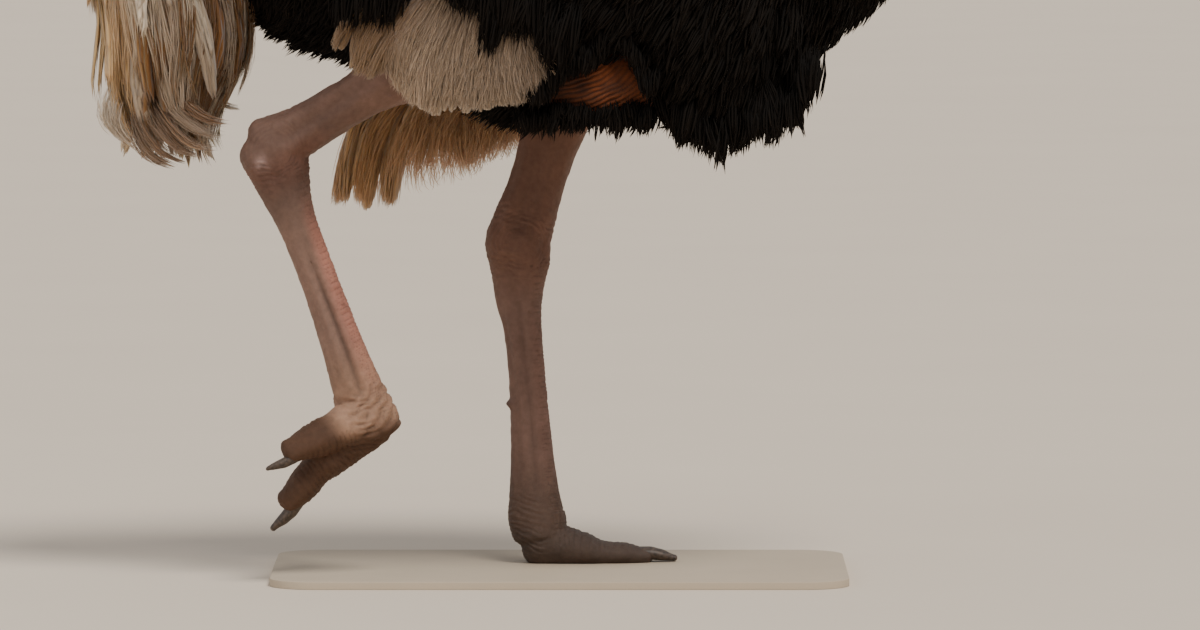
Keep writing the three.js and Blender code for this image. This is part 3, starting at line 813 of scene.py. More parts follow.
def neck_colour(points):
    """Greyish pink skin, darker on the crown and round the eyes; painted shade in the lids' folds, inside
    their opening, in the ears and along the mouth.
    """
    p = into_head(points)
    mottle = 0.5 + 0.5 * rumple(points, 0.028, 34)
    small = 0.5 + 0.5 * rumple(points, 0.007, 35)
    on_head = ease(p[:, 0], -70, -40)
    colour = layered(
        rows_of(NECK_SKIN, len(points)),
        (NECK_SHADE, 0.55 * mottle + 0.25 * small),
        (FACE_SKIN, on_head * 0.8),
        (CROWN_SKIN, on_head * ease(p[:, 2], 22, 40) * 0.8),
    )
    for side in (1, -1):
        q, ring, _, out = lid_ring(p, side)
        near = (out > 2) * on_head
        ear = mirrored((EAR_AT[0], EAR_AT[1] - 2, EAR_AT[2]), side)
        away = np.linalg.norm((p - ear) * np.array([1, 0.4, 1]), axis=1)
        colour = layered(
            colour,
            (LID_SKIN, near * 0.55 * (1 - ease(q, 1.2, 2.0))),
            (LID_EDGE, near * bell(q, 1.0, 0.14)),
            (LID_FOLD_SHADE, near * 0.75 * np.clip(lid_folds(ring, (0.06, 0.07, 0.08), (1, 0.8, 0.6)), 0, 1)),
            (LID_INSIDE_SHADE, near * (q < 0.9)),
            (EAR_SHADE, 1 - ease(away, 2.5, 5.0)),
        )
    line = bell(p[:, 2], mouth_level(p[:, 0]), 1.3) * ease(p[:, 0], 2, 14)
    return blend(colour, MOUTH_LINE_SHADE, line * 0.85 * on_head)


def neck_body():
    """Neck and face as one skin."""
    body = grown_together("neck", [neck_part(), head_part(), brow_part(1), brow_part(-1)], NECK_VOXEL, 8)
    points = points_of(body)
    points = points + normals_of(body) * neck_relief(points)[:, None]
    p = into_head(points)
    near = p[:, 0] > -75
    p[near] = shape_head(p[near])
    set_points(body, out_of_head(p))
    thin_out(body, NECK_BUDGET)
    colour_points(body, "hide", neck_colour(points_of(body)))
    return body


def lid_rims():
    """A moist dark rim round each eye's opening, just above the eye's surface."""
    parts = []
    for side in (1, -1):
        angle = np.linspace(0, 2 * np.pi, 121)[:-1]
        scale = 1.0 + 0.02 * np.sin(3 * angle + 1)
        points, quads, triangles = ring_tube(lid_line(angle, scale, 1.1, side), 1.15)
        parts.append(outward((out_of_head(points), quads, triangles)))
    body = build_mesh("lids", *merged(parts))
    points = points_of(body)
    shade = 1 + 0.2 * rumple(points, 0.003, 24)
    colour_points(body, "hide", rows_of(LID_RIM, len(points)) * shade[:, None])
    return body


def ring_tube(line, radius, around=10):
    """A closed loop of tube along a line of points."""
    count = len(line)
    tangent = unit(np.roll(line, -1, 0) - np.roll(line, 1, 0))
    out = unit(line - line.mean(0))
    out = unit(out - tangent * dots(out, tangent)[:, None])
    other = np.cross(tangent, out)
    angle = 2 * np.pi * np.arange(around) / around
    points = line[:, None] + radius * (
        out[:, None] * np.cos(angle)[None, :, None] + other[:, None] * np.sin(angle)[None, :, None]
    )
    i, j = np.meshgrid(np.arange(count), np.arange(around), indexing="ij")
    n, k = (i + 1) % count, (j + 1) % around
    quads = np.stack([i * around + j, n * around + j, n * around + k, i * around + k], -1).reshape(-1, 4)
    return points.reshape(-1, 3), quads, np.zeros((0, 3), int)


# ---------- skin: trunk and wing arms under the coat ----------

TRUNK = [
    (-505, 1215, 900, 84), (-440, 1292, 842, 150), (-340, 1352, 800, 205), (-200, 1402, 752, 240),
    (-50, 1420, 692, 255), (100, 1402, 712, 258), (215, 1366, 702, 250), (310, 1318, 690, 228),
    (405, 1262, 806, 186), (490, 1206, 872, 128), (548, 1140, 962, 72),
]
WING = [
    (-345, 1165, 985, 232), (-270, 1215, 930, 262), (-150, 1262, 835, 288), (-30, 1290, 790, 298),
    (90, 1290, 784, 300), (160, 1278, 764, 298), (208, 1258, 716, 288), (288, 1214, 704, 258),
    (340, 1150, 756, 212),
]
WING_INSIDE = 90


def slab_row(x, y, top, bottom, half):
    """A loft's ring from its top and bottom, in millimetres."""
    return mm(x, y, (top + bottom) / 2, (top - bottom) / 2, (top - bottom) / 2, half)


def trunk_part(depth, low_depth):
    """The trunk, drawn in by a depth in millimetres, and by another at the bottom."""
    rows = [slab_row(x, 0, top - depth, bottom + low_depth, half - depth) for x, top, bottom, half in TRUNK]
    return loft(rows, 48, 3, FORWARD, ((45 - depth * 0.3) * MM, (30 - depth * 0.3) * MM))


def wing_part(side, depth):
    rows = []
    for x, top, bottom, outer in WING:
        far = outer - depth
        middle, half = (far + WING_INSIDE) / 2, (far - WING_INSIDE) / 2
        rows.append(slab_row(x, side * middle, top - depth, bottom + depth, half))
    return loft(rows, 40, 3, FORWARD, (40 * MM, 26 * MM))


DOWN_BLACK = paint(20, 16, 13)
TAIL_DOWN = paint(128, 92, 60)
TAIL_ROWS = [
    (-455, 0, 1205, 70, 80, 95), (-545, 0, 1185, 90, 78, 135), (-612, 0, 1085, 112, 96, 160),
    (-620, 0, 960, 136, 114, 162), (-608, 0, 838, 126, 110, 140), (-618, 0, 745, 74, 100, 104),
    (-624, 0, 692, 40, 72, 66),
]


def tail_part(depth, around=36, steps=4):
    rows = [mm(x, y, z, *(max(v - depth, 4) for v in sizes)) for x, y, z, *sizes in TAIL_ROWS]
    return loft(rows, around, steps, domes=(2 * MM, 20 * MM))


SKIN_FLANK = paint(122, 60, 18)
FLANK_FOLD_SHADE = paint(30, 14, 5)


def flank_pad(side):
    """Bare skin low on the flank, in loose wavy folds that bend up towards the front."""
    middle, size = np.array([0.06, side * 0.184, 0.78]), np.array([0.105, 0.052, 0.066])
    points, quads, triangles = ball((0, 0, 0), (1, 1, 1), 96, 60)
    # the ball's pole looks outwards, with most of its rings near it
    polar = np.pi * (np.arccos(np.clip(points[:, 2], -1, 1)) / np.pi) ** 1.9
    from_pole = np.maximum(np.linalg.norm(points[:, :2], axis=1), 1e-9)
    flat = points[:, :2] / from_pole[:, None] * np.sin(polar)[:, None]
    points = middle + size * np.stack([flat[:, 0], side * np.cos(polar), flat[:, 1]], 1)
    points, quads, triangles = outward((points, quads, triangles))
    out = unit((points - middle) / size**2)
    bent = np.hypot(points[:, 0] - 0.0, 1.15 * (points[:, 2] - 0.875))
    wave = 2.4 * rumple(points, 0.034, 61) + 1.2 * rumple(points, 0.013, 62)
    folds = np.sin(bent / 0.0086 * 2 * np.pi + wave) * (0.75 + 0.25 * rumple(points, 0.02, 65))
    points = points + out * (0.0017 * folds + 0.002 * rumple(points, 0.02, 63))[:, None]
    body = build_mesh("flank_pad", points, quads, triangles)
    # painted shade: darker in the folds' troughs and towards the back; the soft patches are the skin's own
    shade = (0.75 + 0.35 * rumple(points, 0.018, 64)) * (0.45 + 0.55 * ease(points[:, 0], 0.0, 0.075))
    colour = blend(rows_of(SKIN_FLANK, len(points)), FLANK_FOLD_SHADE, ease(-folds, 0.0, 0.9) * 0.75)
    colour_points(body, "hide", colour * shade[:, None])
    return body


def under_body():
    """The skin below the plumage, plain because the coat hides it."""
    made = []
    for name, parts, colour in (
        ("flank", [trunk_part(40, 52), wing_part(1, 24), wing_part(-1, 24)], DOWN_BLACK),
        ("stump", [tail_part(34)], TAIL_DOWN),
    ):
        body = build_mesh(name, *merged([outward(part) for part in parts]))
        colour_points(body, "hide", rows_of(colour, len(body.data.vertices)))
        made.append(body)
    return [*made, flank_pad(1), flank_pad(-1)]


# ---------- materials ----------


def node(tree, kind, place=(0, 0), feeds=None, **settings):
    """A node with its settings, and each named input given a value or linked to a socket."""
    made = tree.nodes.new(kind)
    made.location = place
    for key, value in settings.items():
        setattr(made, key, value)
    feed(tree, made, feeds or {})
    return made


def feed(tree, made, feeds):
    for key, value in feeds.items():
        if isinstance(value, bpy.types.NodeSocket):
            tree.links.new(value, made.inputs[key])
        else:
            made.inputs[key].default_value = value


def attribute(tree, name, place=(-1100, 300)):
    return node(tree, "ShaderNodeAttribute", place, attribute_name=name).outputs


def object_places(tree, place=(-1100, 0)):
    return node(tree, "ShaderNodeTexCoord", place).outputs["Object"]


def noise_of(tree, vector, scale, detail, place=(-700, 0)):
    feeds = {"Vector": vector, "Scale": scale, "Detail": detail}
    return node(tree, "ShaderNodeTexNoise", place, feeds).outputs["Fac"]


def remap(tree, value, low, high=1.0, top=1.0, place=(-450, -150)):
    """A value from 0 to top, drawn out to run from low to high."""
    feeds = {"Value": value, "From Max": top, "To Min": low, "To Max": high}
    return node(tree, "ShaderNodeMapRange", place, feeds).outputs["Result"]


def scaled(tree, colour, share, place=(-250, 250)):
    """A colour made darker or lighter by a share."""
    feeds = {0: colour, "Scale": share}
    return node(tree, "ShaderNodeVectorMath", place, feeds, operation="SCALE").outputs[0]


def sum_of(tree, value, factor, more, place):
    feeds = {0: value, 1: factor, 2: more}
    return node(tree, "ShaderNodeMath", place, feeds, operation="MULTIPLY_ADD").outputs[0]


def mottling_group():
    """Darkens and lightens a colour in soft patches."""
    group = bpy.data.node_groups.new("mottling", "ShaderNodeTree")
    colour, number = "NodeSocketColor", "NodeSocketFloat"
    taken = ("Color", colour, (0.5, 0.5, 0.5, 1)), ("Size", number, 40.0), ("Amount", number, 0.2)
    for label, kind, start in taken:
        group.interface.new_socket(name=label, in_out="INPUT", socket_type=kind).default_value = start
    for label, kind in (("Color", colour), ("Patches", number)):
        group.interface.new_socket(name=label, in_out="OUTPUT", socket_type=kind)
    given = node(group, "NodeGroupInput", (-900, 0)).outputs
    patches = noise_of(group, object_places(group, (-900, 300)), given["Size"], 4, (-700, 200))
    centred = node(group, "ShaderNodeMath", (-500, 200), {0: patches, 1: 0.5}, operation="SUBTRACT")
    strength = node(group, "ShaderNodeMath", (-500, 0), {0: given["Amount"], 1: 3.0}, operation="MULTIPLY")
    share = sum_of(group, centred.outputs[0], strength.outputs[0], 1.0, (-350, 200))
    mixed = scaled(group, given["Color"], share, (-100, 0))
    node(group, "NodeGroupOutput", (500, 0), {"Color": mixed, "Patches": patches})
    return group


def new_material(name, roughness=0.6, specular=0.4):
    made = bpy.data.materials.new(name)
    made.use_nodes = True
    shader = made.node_tree.nodes["Principled BSDF"]
    feed(made.node_tree, shader, {"Roughness": roughness, "Specular IOR Level": specular})
    return made, made.node_tree, shader


MOTTLING = mottling_group()


def mottled(tree, colour, size, amount, place=(-400, 200)):
    colour = colour if isinstance(colour, bpy.types.NodeSocket) else (*colour, 1)
    made = node(tree, "ShaderNodeGroup", place, node_tree=MOTTLING)
    feed(tree, made, {"Color": colour, "Size": size, "Amount": amount})
    return made.outputs


def bump(tree, height, distance, strength):
    feeds = {"Distance": distance, "Strength": strength, "Height": height}
    return node(tree, "ShaderNodeBump", (-150, -300), feeds).outputs["Normal"]


def skin_material():
    """Bare skin: the hide attribute's colour, mottled, over a fine net of creases, darkened along the net as
    painted shade.
    """
    made, tree, shader = new_material("bare_skin", 0.62, 0.35)
    places = object_places(tree)
    feeds = {"Vector": places, "Scale": 680}
    cells = node(tree, "ShaderNodeTexVoronoi", (-850, -50), feeds, feature="DISTANCE_TO_EDGE")
    edge = remap(tree, cells.outputs["Distance"], 0.0, top=0.22, place=(-650, -50))
    height = sum_of(tree, noise_of(tree, places, 260, 5, (-850, -400)), 0.7, edge, (-400, -250))
    soft = mottled(tree, attribute(tree, "hide")["Color"], 130, 0.16, (-600, 350))
    feed(tree, shader, {
        "Base Color": scaled(tree, soft["Color"], remap(tree, edge, 0.86, place=(-400, 50))),
        "Roughness": remap(tree, soft["Patches"], 0.72, 0.5, place=(-250, -60)),
        "Normal": bump(tree, height, 0.0004, 0.7),
        "Subsurface Weight": 0.06,
        "Subsurface Scale": 0.004,
    })
    return made


def horn_material(name, light, dark, roughness, lines, shade=None):
    """Horn with faint streaks, drawn out by the lines' sizes, and darker where an attribute says."""
    made, tree, shader = new_material(name, roughness, 0.45)
    feeds = {"Vector": object_places(tree), "Scale": lines}
    stretched = node(tree, "ShaderNodeMapping", (-900, 0), feeds).outputs["Vector"]
    streaks = noise_of(tree, stretched, 1, 6)
    ramp = node(tree, "ShaderNodeValToRGB", (-450, 100), {"Fac": streaks})
    for stop, place, tone in zip(ramp.color_ramp.elements, (0.3, 0.68), (dark, light)):
        stop.position, stop.color = place, (*tone, 1)
    colour = ramp.outputs["Color"]
    if shade:
        feeds = {0: colour, 1: attribute(tree, shade, (-450, 350))["Color"]}
        colour = node(tree, "ShaderNodeVectorMath", (-150, 200), feeds, operation="MULTIPLY").outputs[0]
    feed(tree, shader, {
        "Base Color": colour,
        "Roughness": remap(tree, streaks, roughness - 0.1, roughness + 0.12),
        "Normal": bump(tree, streaks, 0.0004, 0.5),
    })
    return made


def eye_material():
    """A dark iris under a clear wet coat."""
    made, tree, shader = new_material("eyeball", 0.2, 0.08)
    soft = mottled(tree, attribute(tree, "tint")["Color"], 60, 0.08)
    feed(tree, shader, {"Base Color": soft["Color"]})
    feed(tree, shader, {"Coat Weight": 1.0, "Coat Roughness": 0.03, "Coat IOR": 1.36})
    return made


def feather_material(name, roughness, specular, sheen=0.0, streaks=0.35, glow=0.0, across=9.0):
    """Plumage: the colour of each lock from its attribute, with fine streaks along it."""
    made, tree, shader = new_material(name, roughness, specular)
    feeds = {"Vector": attribute(tree, "lay", (-1100, -100))["Vector"], "Scale": (across, 1.4, 40)}
    stretched = node(tree, "ShaderNodeMapping", (-900, -100), feeds).outputs["Vector"]
    fine = noise_of(tree, stretched, 1, 3)
    shade = remap(tree, fine, 1 - 1.6 * streaks, 1 + 1.6 * streaks)
    feed(tree, shader, {
        "Base Color": scaled(tree, attribute(tree, "tint")["Color"], shade),
        "Normal": bump(tree, fine, 0.0005, 0.6),
        "Subsurface Weight": glow,
        "Subsurface Scale": 0.012,
        "Subsurface Radius": (1.0, 0.8, 0.6),
        "Sheen Weight": sheen,
        "Sheen Roughness": 0.5,
    })
    return made


def base_material():
    made, tree, shader = new_material("base_paint", 0.7, 0.3)
    soft = mottled(tree, paint(188, 172, 150), 6, 0.05)
    fine = mottled(tree, soft["Color"], 900, 0.08, (-200, 300))
    feed(tree, shader, {"Base Color": fine["Color"], "Normal": bump(tree, fine["Patches"], 0.0003, 0.5)})
    return made


def floor_material():
    made, tree, shader = new_material("studio_floor", 0.85, 0.2)
    feed(tree, shader, {"Base Color": mottled(tree, paint(222, 208, 190), 1.5, 0.02)["Color"]})
    return made


def finish_piece(body, slot, material, *nodes):
    body.data.materials.clear()
    body.data.materials.append(material)
    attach(body, "root")
    if nodes:
        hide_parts(*nodes)
    return body


# ---------- bill, eyes, claws, base, floor ----------

BILL_FROM = 52.0


def cut_back(rings, edge):
    """Ends a loft's rings at a slanting edge: what lies behind it becomes a cap drawn to the middle."""
    reach = rings[:, :, 0] - edge(rings)
    first = (reach >= 0).argmax(0)
    column = np.arange(rings.shape[1])
    a, b = rings[first - 1, column], rings[first, column]
    da, db = reach[first - 1, column], reach[first, column]
    rim = a + (b - a) * (-da / (db - da))[:, None]
    middle = rim.mean(0)
    for i in range(len(rings)):
        share = ((first - i) / (first + 1.0)).clip(0, 1)[:, None]
        capped = rim + (middle - rim) * share - np.array([1.0, 0, 0]) * ease(share, 0, 0.15)
        rings[i] = np.where(share > 0, capped, rings[i])
    return middle


def bill_edge(rings):
    """The horn's rear edge, slanting down and back, with a tongue on the bill's ridge."""
    across, up = rings[:, :, 1], rings[:, :, 2]
    return BILL_FROM + 0.3 * up + 6 * bell(across, 0, 11) * (up > 0) - 1.5


def shape_upper(p, level):
    """Ridge, troughs, slit nostrils and nail; returns how deep in a nostril each point lies."""
    side, sign = np.abs(p[:, 1]), np.sign(p[:, 1])
    above = ease(p[:, 2] - level, 1.5, 4) * ease(p[:, 0], 60, 68)
    p[:, 2] += 1.6 * bell(p[:, 1], 0, 6) * (1 - ease(p[:, 0], 112, 124)) * above
    p[:, 2] -= 1.8 * bell(side, 15, 5) * ease(p[:, 0], 62, 78) * (1 - ease(p[:, 0], 102, 116)) * above
    slit = bell(p[:, 0], 84, 9) * bell(side, 22, 2.6) * above
    p[:, 2] -= 5.5 * slit
    p[:, 1] -= sign * 4.0 * slit
    p[:, 1] += sign * 0.9 * bell(p[:, 0], 84, 11) * bell(side, 28, 2.0) * above
    nail = ease(p[:, 0], 112, 117)
    p[:, 2] += 1.5 * nail * bell(p[:, 1], 0, 12) * above
    p[:, 0] += 1.5 * nail * bell(p[:, 1], 0, 9)
    return slit


def shape_lower(p, level):
    """The grooves under the lower bill, and its shorter tip."""
    groove = bell(np.abs(p[:, 1]), 6, 2.5) * ease(p[:, 0], 66, 84) * (1 - ease(p[:, 0], 106, 118))
    p[:, 2] += 1.3 * groove * ease(level - p[:, 2], 1.5, 4)
    p[:, 0] -= 1.6 * ease(p[:, 0], 118, 130)
    p[:, 1] *= 1 - 0.03 * ease(p[:, 0], 56, 70)
    return 0 * p[:, 0]


def bill_parts():
    """Upper and lower bill: broad, flat horn, split along the mouth."""
    made = []
    for name, gap, keep, shape in (
        ("bill_top", 0.3, np.maximum, shape_upper), ("bill_bottom", -0.3, np.minimum, shape_lower),
    ):
        rows = skull_rows(BILL_ROOT + HEAD_STATIONS[7:])
        points, quads, triangles = loft(rows, 112, 20, FORWARD, (2 * MM, 7 * MM))
        p = points / MM
        rings = p[:-2].reshape(-1, 112, 3)
        p[-2] = cut_back(rings, bill_edge)
        p[:-2] = rings.reshape(-1, 3)
        level = mouth_level(p[:, 0]) + gap
        p[:, 2] = keep(p[:, 2], level)
        slit = shape(p, level)
        body = build_mesh(name, *outward((out_of_head(p), quads, triangles)))
        # painted shade: darker in the nostril slits, along the mouth's line and at the horn's root
        shade = (1 - 0.9 * np.clip(1.5 * slit, 0, 1)) * (1 - 0.35 * bell(p[:, 2], level, 1.2))
        shade = shade * (0.86 + 0.14 * ease(p[:, 0], 54, 66))
        colour_points(body, "tint", np.repeat(shade[:, None], 3, 1))
        made.append(body)
    return made


def eye_parts():
    """The eyeballs, each with a bulging cornea, a ringed iris and a pupil."""
    made = []
    for side, name in ((1, "eyeball_left"), (-1, "eyeball_right")):
        points, quads, triangles = ball((0, 0, 0), (1, 1, 1), 64, 48)
        # turn the ball's pole outwards, so the iris lies on fine rings
        turned = np.stack([points[:, 0], side * points[:, 2], -side * points[:, 1]], 1)
        out = np.clip(turned[:, 1] * side, -1, 1)
        cornea = 0.9 * ease(out, 0.80, 0.95)
        p = turned * (EYE_RADIUS - 0.4 + cornea)[:, None] + mirrored(EYE_AT, side)
        body = build_mesh(name, *outward((out_of_head(p), quads, triangles)))
        p = into_head(points_of(body))
        rel = unit(p - mirrored(EYE_AT, side))
        angle = np.degrees(np.arccos(np.clip(rel[:, 1] * side, -1, 1)))
        ray = np.arctan2(rel[:, 2], rel[:, 0])
        iris = paint(78, 40, 17) * (0.85 + 0.25 * np.sin(ray * 23) * np.sin(ray * 9 + 1))[:, None]
        iris_rim, pupil, white = paint(24, 12, 6), paint(3, 2, 2), paint(46, 30, 24)
        rings = (iris_rim, bell(angle, 36, 4)), (pupil, 1 - ease(angle, 18, 20)), (white, ease(angle, 37, 41))
        colour_points(body, "tint", layered(iris, *rings))
        made.append(body)
    return made


def claw_bodies():
    """The four claws by the solid that each replaces, with growth lines across and a slight droop."""
    made = {}
    for name, leg, shape in (("left", LEFT_LEG, FLAT_FOOT), ("right", RIGHT_LEG, HUNG_FOOT)):
        places = foot_places(leg, shape)
        for kind, stations, place in zip(("inner", "outer"), (INNER_CLAW, OUTER_CLAW), places):
            points, quads, triangles = claw_part(stations)
            p = points / MM
            on_top = bell(p[:, 1], 0, 20) * ease(p[:, 2] + FOOT_JOINT, 5, 12)
            p[:, 2] += 0.3 * np.sin(p[:, 0] / 3.1) * on_top
            start, tip = stations[0][0], stations[-1][0]
            p[:, 2] -= 1.5 * ease(p[:, 0], start + 0.4 * (tip - start), tip + 5)
            if shape is FLAT_FOOT:
                p[:, 2] = np.maximum(p[:, 2] + FOOT_JOINT, 0.8) - FOOT_JOINT
            part = placed((p * MM, quads, triangles), place)
            made[f"claw_{kind}_{name}"] = build_mesh(f"nail_{kind}_{name}", *outward(part))
    return made


BASE = (900, 520, 12, 70)
BASE_EASE = 0.0015


def bevel_edges(body, chosen, offset, segments):
    """Bevels the edges whose two ends' heights are chosen."""
    bpy.ops.object.mode_set(mode="EDIT")
    bpy.ops.mesh.select_mode(type="EDGE")
    bpy.ops.mesh.select_all(action="DESELECT")
    bpy.ops.object.mode_set(mode="OBJECT")
    for edge in body.data.edges:
        edge.select = chosen(*(body.data.vertices[i].co.z for i in edge.vertices))
    bpy.ops.object.mode_set(mode="EDIT")
    bpy.ops.mesh.bevel(offset=offset, segments=segments, affect="EDGES")
    bpy.ops.object.mode_set(mode="OBJECT")


def base_body():
    """The steel base plate, a rounded slab with its edges eased."""
    length, width, thick, corner = mm(*BASE)
    bpy.ops.object.select_all(action="DESELECT")
    bpy.ops.mesh.primitive_cube_add(size=1, location=(0, 0, thick / 2), scale=(length, width, thick))
    body = bpy.context.object
    body.name = body.data.name = "base_plate"
    bpy.ops.object.transform_apply(location=True, rotation=False, scale=True)
    bevel_edges(body, lambda a, b: abs(a - b) > thick / 2, corner, 16)
    bevel_edges(body, lambda a, b: min(a, b) > thick - 1e-5, BASE_EASE, 3)
    bpy.ops.object.shade_smooth_by_angle(angle=math.radians(35))
    return body


def floor_body():
    bpy.ops.object.select_all(action="DESELECT")
    bpy.ops.mesh.primitive_plane_add(size=600, location=(0, 0, -0.0005))
    floor = bpy.context.object
    floor.name = "studio_floor"
    floor.data.materials.append(floor_material())


# ---------- plumage ----------

# stations along a strand, and how broad it is at those between its ends
SHORT = (np.array([0.0, 0.36, 0.76, 1.0]), np.array([1.0, 0.78]))
LONG = (np.array([0.0, 0.22, 0.5, 0.8, 1.0]), np.array([0.85, 1.0, 0.7]))
VANE = (np.array([0.0, 0.15, 0.4, 0.66, 0.9, 1.0]), np.array([0.7, 1.0, 1.0, 0.66]))
PATCH = 0.003  # the size of a strand's own patch on the bake map
THINNEST = 0.00025


def dress_points(body, lay, uv):
    """Gives a mesh of plumage the places that its streaks follow, and its bake map, corner by corner."""
    attribute = body.data.attributes.new("lay", "FLOAT_VECTOR", "POINT")
    attribute.data.foreach_set("vector", np.asarray(lay, np.float32).reshape(-1))
    layer = body.data.uv_layers.new(name="OFBake")
    layer.data.foreach_set("uv", np.asarray(uv, np.float32).reshape(-1))


def turned_about(v, axis, angle):
    c, s = np.cos(angle)[:, None], np.sin(angle)[:, None]
    return v * c + np.cross(axis, v) * s + axis * (dots(axis, v)[:, None]) * (1 - c)


class Plumage:
    """Gathers strands, each a slim closed sliver along a line of points, and makes them one mesh."""

    def __init__(self, unwrap, kind=LONG):
        self.unwrap = unwrap
        self.shares, self.widths = kind
        self.sets = []

    def add(self, lines, facing, width, root_colour, tip_colour, thick):
        """lines: strands x stations x 3. facing: the way each flat side looks. width: at its broadest."""
        self.sets.append((lines, facing, width, root_colour, tip_colour, np.full(len(lines), thick)))

    def faces(self):
        """One strand's triangles: its root, rings of three corners, and its tip."""
        rings = len(self.widths)
        last = 3 * rings + 1
        faces = []
        for k in range(3):
            n = (k + 1) % 3
            faces += [(0, 1 + k, 1 + n), (last, last - 3 + n, last - 3 + k)]
            for r in range(1, 3 * rings - 2, 3):
                faces += [(r + k, r + 3 + k, r + 3 + n), (r + k, r + 3 + n, r + n)]
        return np.array(faces)

    def make(self, name):
        joined = (np.concatenate(part) for part in zip(*self.sets))
        lines, facing, width, root_colour, tip_colour, thick = joined
        count, rings = len(lines), len(self.widths)
        size = 3 * rings + 2
        inner = lines[:, 1:-1]
        tangent = unit(lines[:, 2:] - lines[:, :-2])
        side = unit(np.cross(tangent, facing[:, None]))
        up = np.cross(side, tangent)
        half = (width[:, None] * self.widths[None] / 2)[:, :, None]
        rise = np.maximum(half * 2 * thick[:, None, None], THINNEST)
        ring = np.stack([inner + side * half, inner + up * rise, inner - side * half], 2)
        ring = ring.reshape(count, 3 * rings, 3)
        points = np.concatenate([lines[:, :1], ring, lines[:, -1:]], 1).reshape(-1, 3)
        faces = self.faces()
        triangles = (faces[None] + (np.arange(count) * size)[:, None, None]).reshape(-1, 3)
        if solid_volume(points - points[0], triangles[: len(faces)]) < 0:
            triangles = triangles[:, ::-1]
        body = build_mesh(name, points, triangles=triangles)
        share = np.concatenate([[0], np.repeat(self.shares[1:-1], 3), [1]])
        across = np.concatenate([[0], np.tile([1, 0, -1], rings), [0]])
        tint = blend(root_colour[:, None], tip_colour[:, None], share[None])
        colour_points(body, "tint", tint.reshape(-1, 3))
        lay = np.empty((count, size, 3), np.float32)
        lay[:, :, 0], lay[:, :, 1] = across, share * 6
        lay[:, :, 2] = (np.arange(count) * 0.618 % 1)[:, None] * 50
        patch = np.stack([across * PATCH / 2, share * PATCH - PATCH / 2], 1)
        uv = np.clip(self.unwrap(lines[:, 0])[:, None] + patch[None], 0, 1).reshape(-1, 2)
        dress_points(body, lay, uv[triangles.reshape(-1)])
        return body


def map_places(along, first, second):
    """A share of the way along, and the turn round a middle line, as a place on the map."""
    turn = np.arctan2(first, second) / (2 * np.pi) + 0.5
    return np.stack([0.01 + 0.98 * along, 0.01 + 0.98 * turn], 1)


def body_unwrap(points):
    return map_places((points[:, 0] + 0.75) / 1.5, points[:, 1], points[:, 2] - 1.05)


def tail_unwrap(points):
    return map_places((points[:, 2] - 0.6) / 0.75, points[:, 1], points[:, 0] + 0.61)


NECK_LINE = [[0.36], [0.48], [0.59], [0.62], [0.625], [0.63], [0.67], [0.72]]


def neck_unwrap(points):
    middle = through(NECK_LINE, (points[:, 2] - 1.0) / 0.2)[:, 0]
    return map_places((points[:, 2] - 1.0) / 1.4, points[:, 1], points[:, 0] - middle)


def scatter(part, count, density=None):
    """Places spread evenly over a loft, with the way its surface looks there."""
    points, quads, triangles = outward(part)
    both = all_triangles(quads, triangles)
    a, b, c = (points[both[:, k]] for k in range(3))
    face = np.cross(b - a, c - a)
    size = np.linalg.norm(face, axis=1) / 2
    weight = size if density is None else size * density((a + b + c) / 3, unit(face))
    total = np.cumsum(weight)
    spots = (np.arange(count) + rng.random(count)) / count * total[-1]
    which = np.minimum(np.searchsorted(total, spots), len(total) - 1)
    r1, r2 = np.sqrt(rng.random(count)), rng.random(count)
    corner = np.zeros_like(points)
    for k in range(3):
        np.add.at(corner, both[:, k], face)
    corner = unit(corner)
    mix = np.stack([1 - r1, r1 * (1 - r2), r1 * r2], 1)[:, :, None]
    chosen = both[which]
    return (points[chosen] * mix).sum(1), unit((corner[chosen] * mix).sum(1))


def flat_to(way, normal):
    return unit(way - normal * dots(way, normal)[:, None])


def grown(root, way, normal, length, lift, droop, bend, shares):
    """Lines that leave the skin by lift, run along way, sink by droop and curve sideways by bend."""
    side = np.cross(normal, way)
    line = [root]
    for start, end in zip(shares[:-1], shares[1:]):
        s = (start + end) / 2
        d = way + normal * (lift * (1 - 1.15 * s))[:, None]
        d = d + DOWN * (droop * s)[:, None] + side * (bend * (s - 0.2))[:, None]
        line.append(line[-1] + unit(d) * (length * (end - start))[:, None])
    return np.stack(line, 1)


GUIDE = np.linspace(0, 1.1, 12)
IN_A_TUFT = 6


def along_guides(guide, pick, s):
    """Points on the picked guide lines at shares s."""
    q = s / GUIDE[1]
    i = np.clip(np.floor(q).astype(int), 0, len(GUIDE) - 2)
    e = (q - i)[:, None]
    return guide[pick, i] * (1 - e) + guide[pick, i + 1] * e


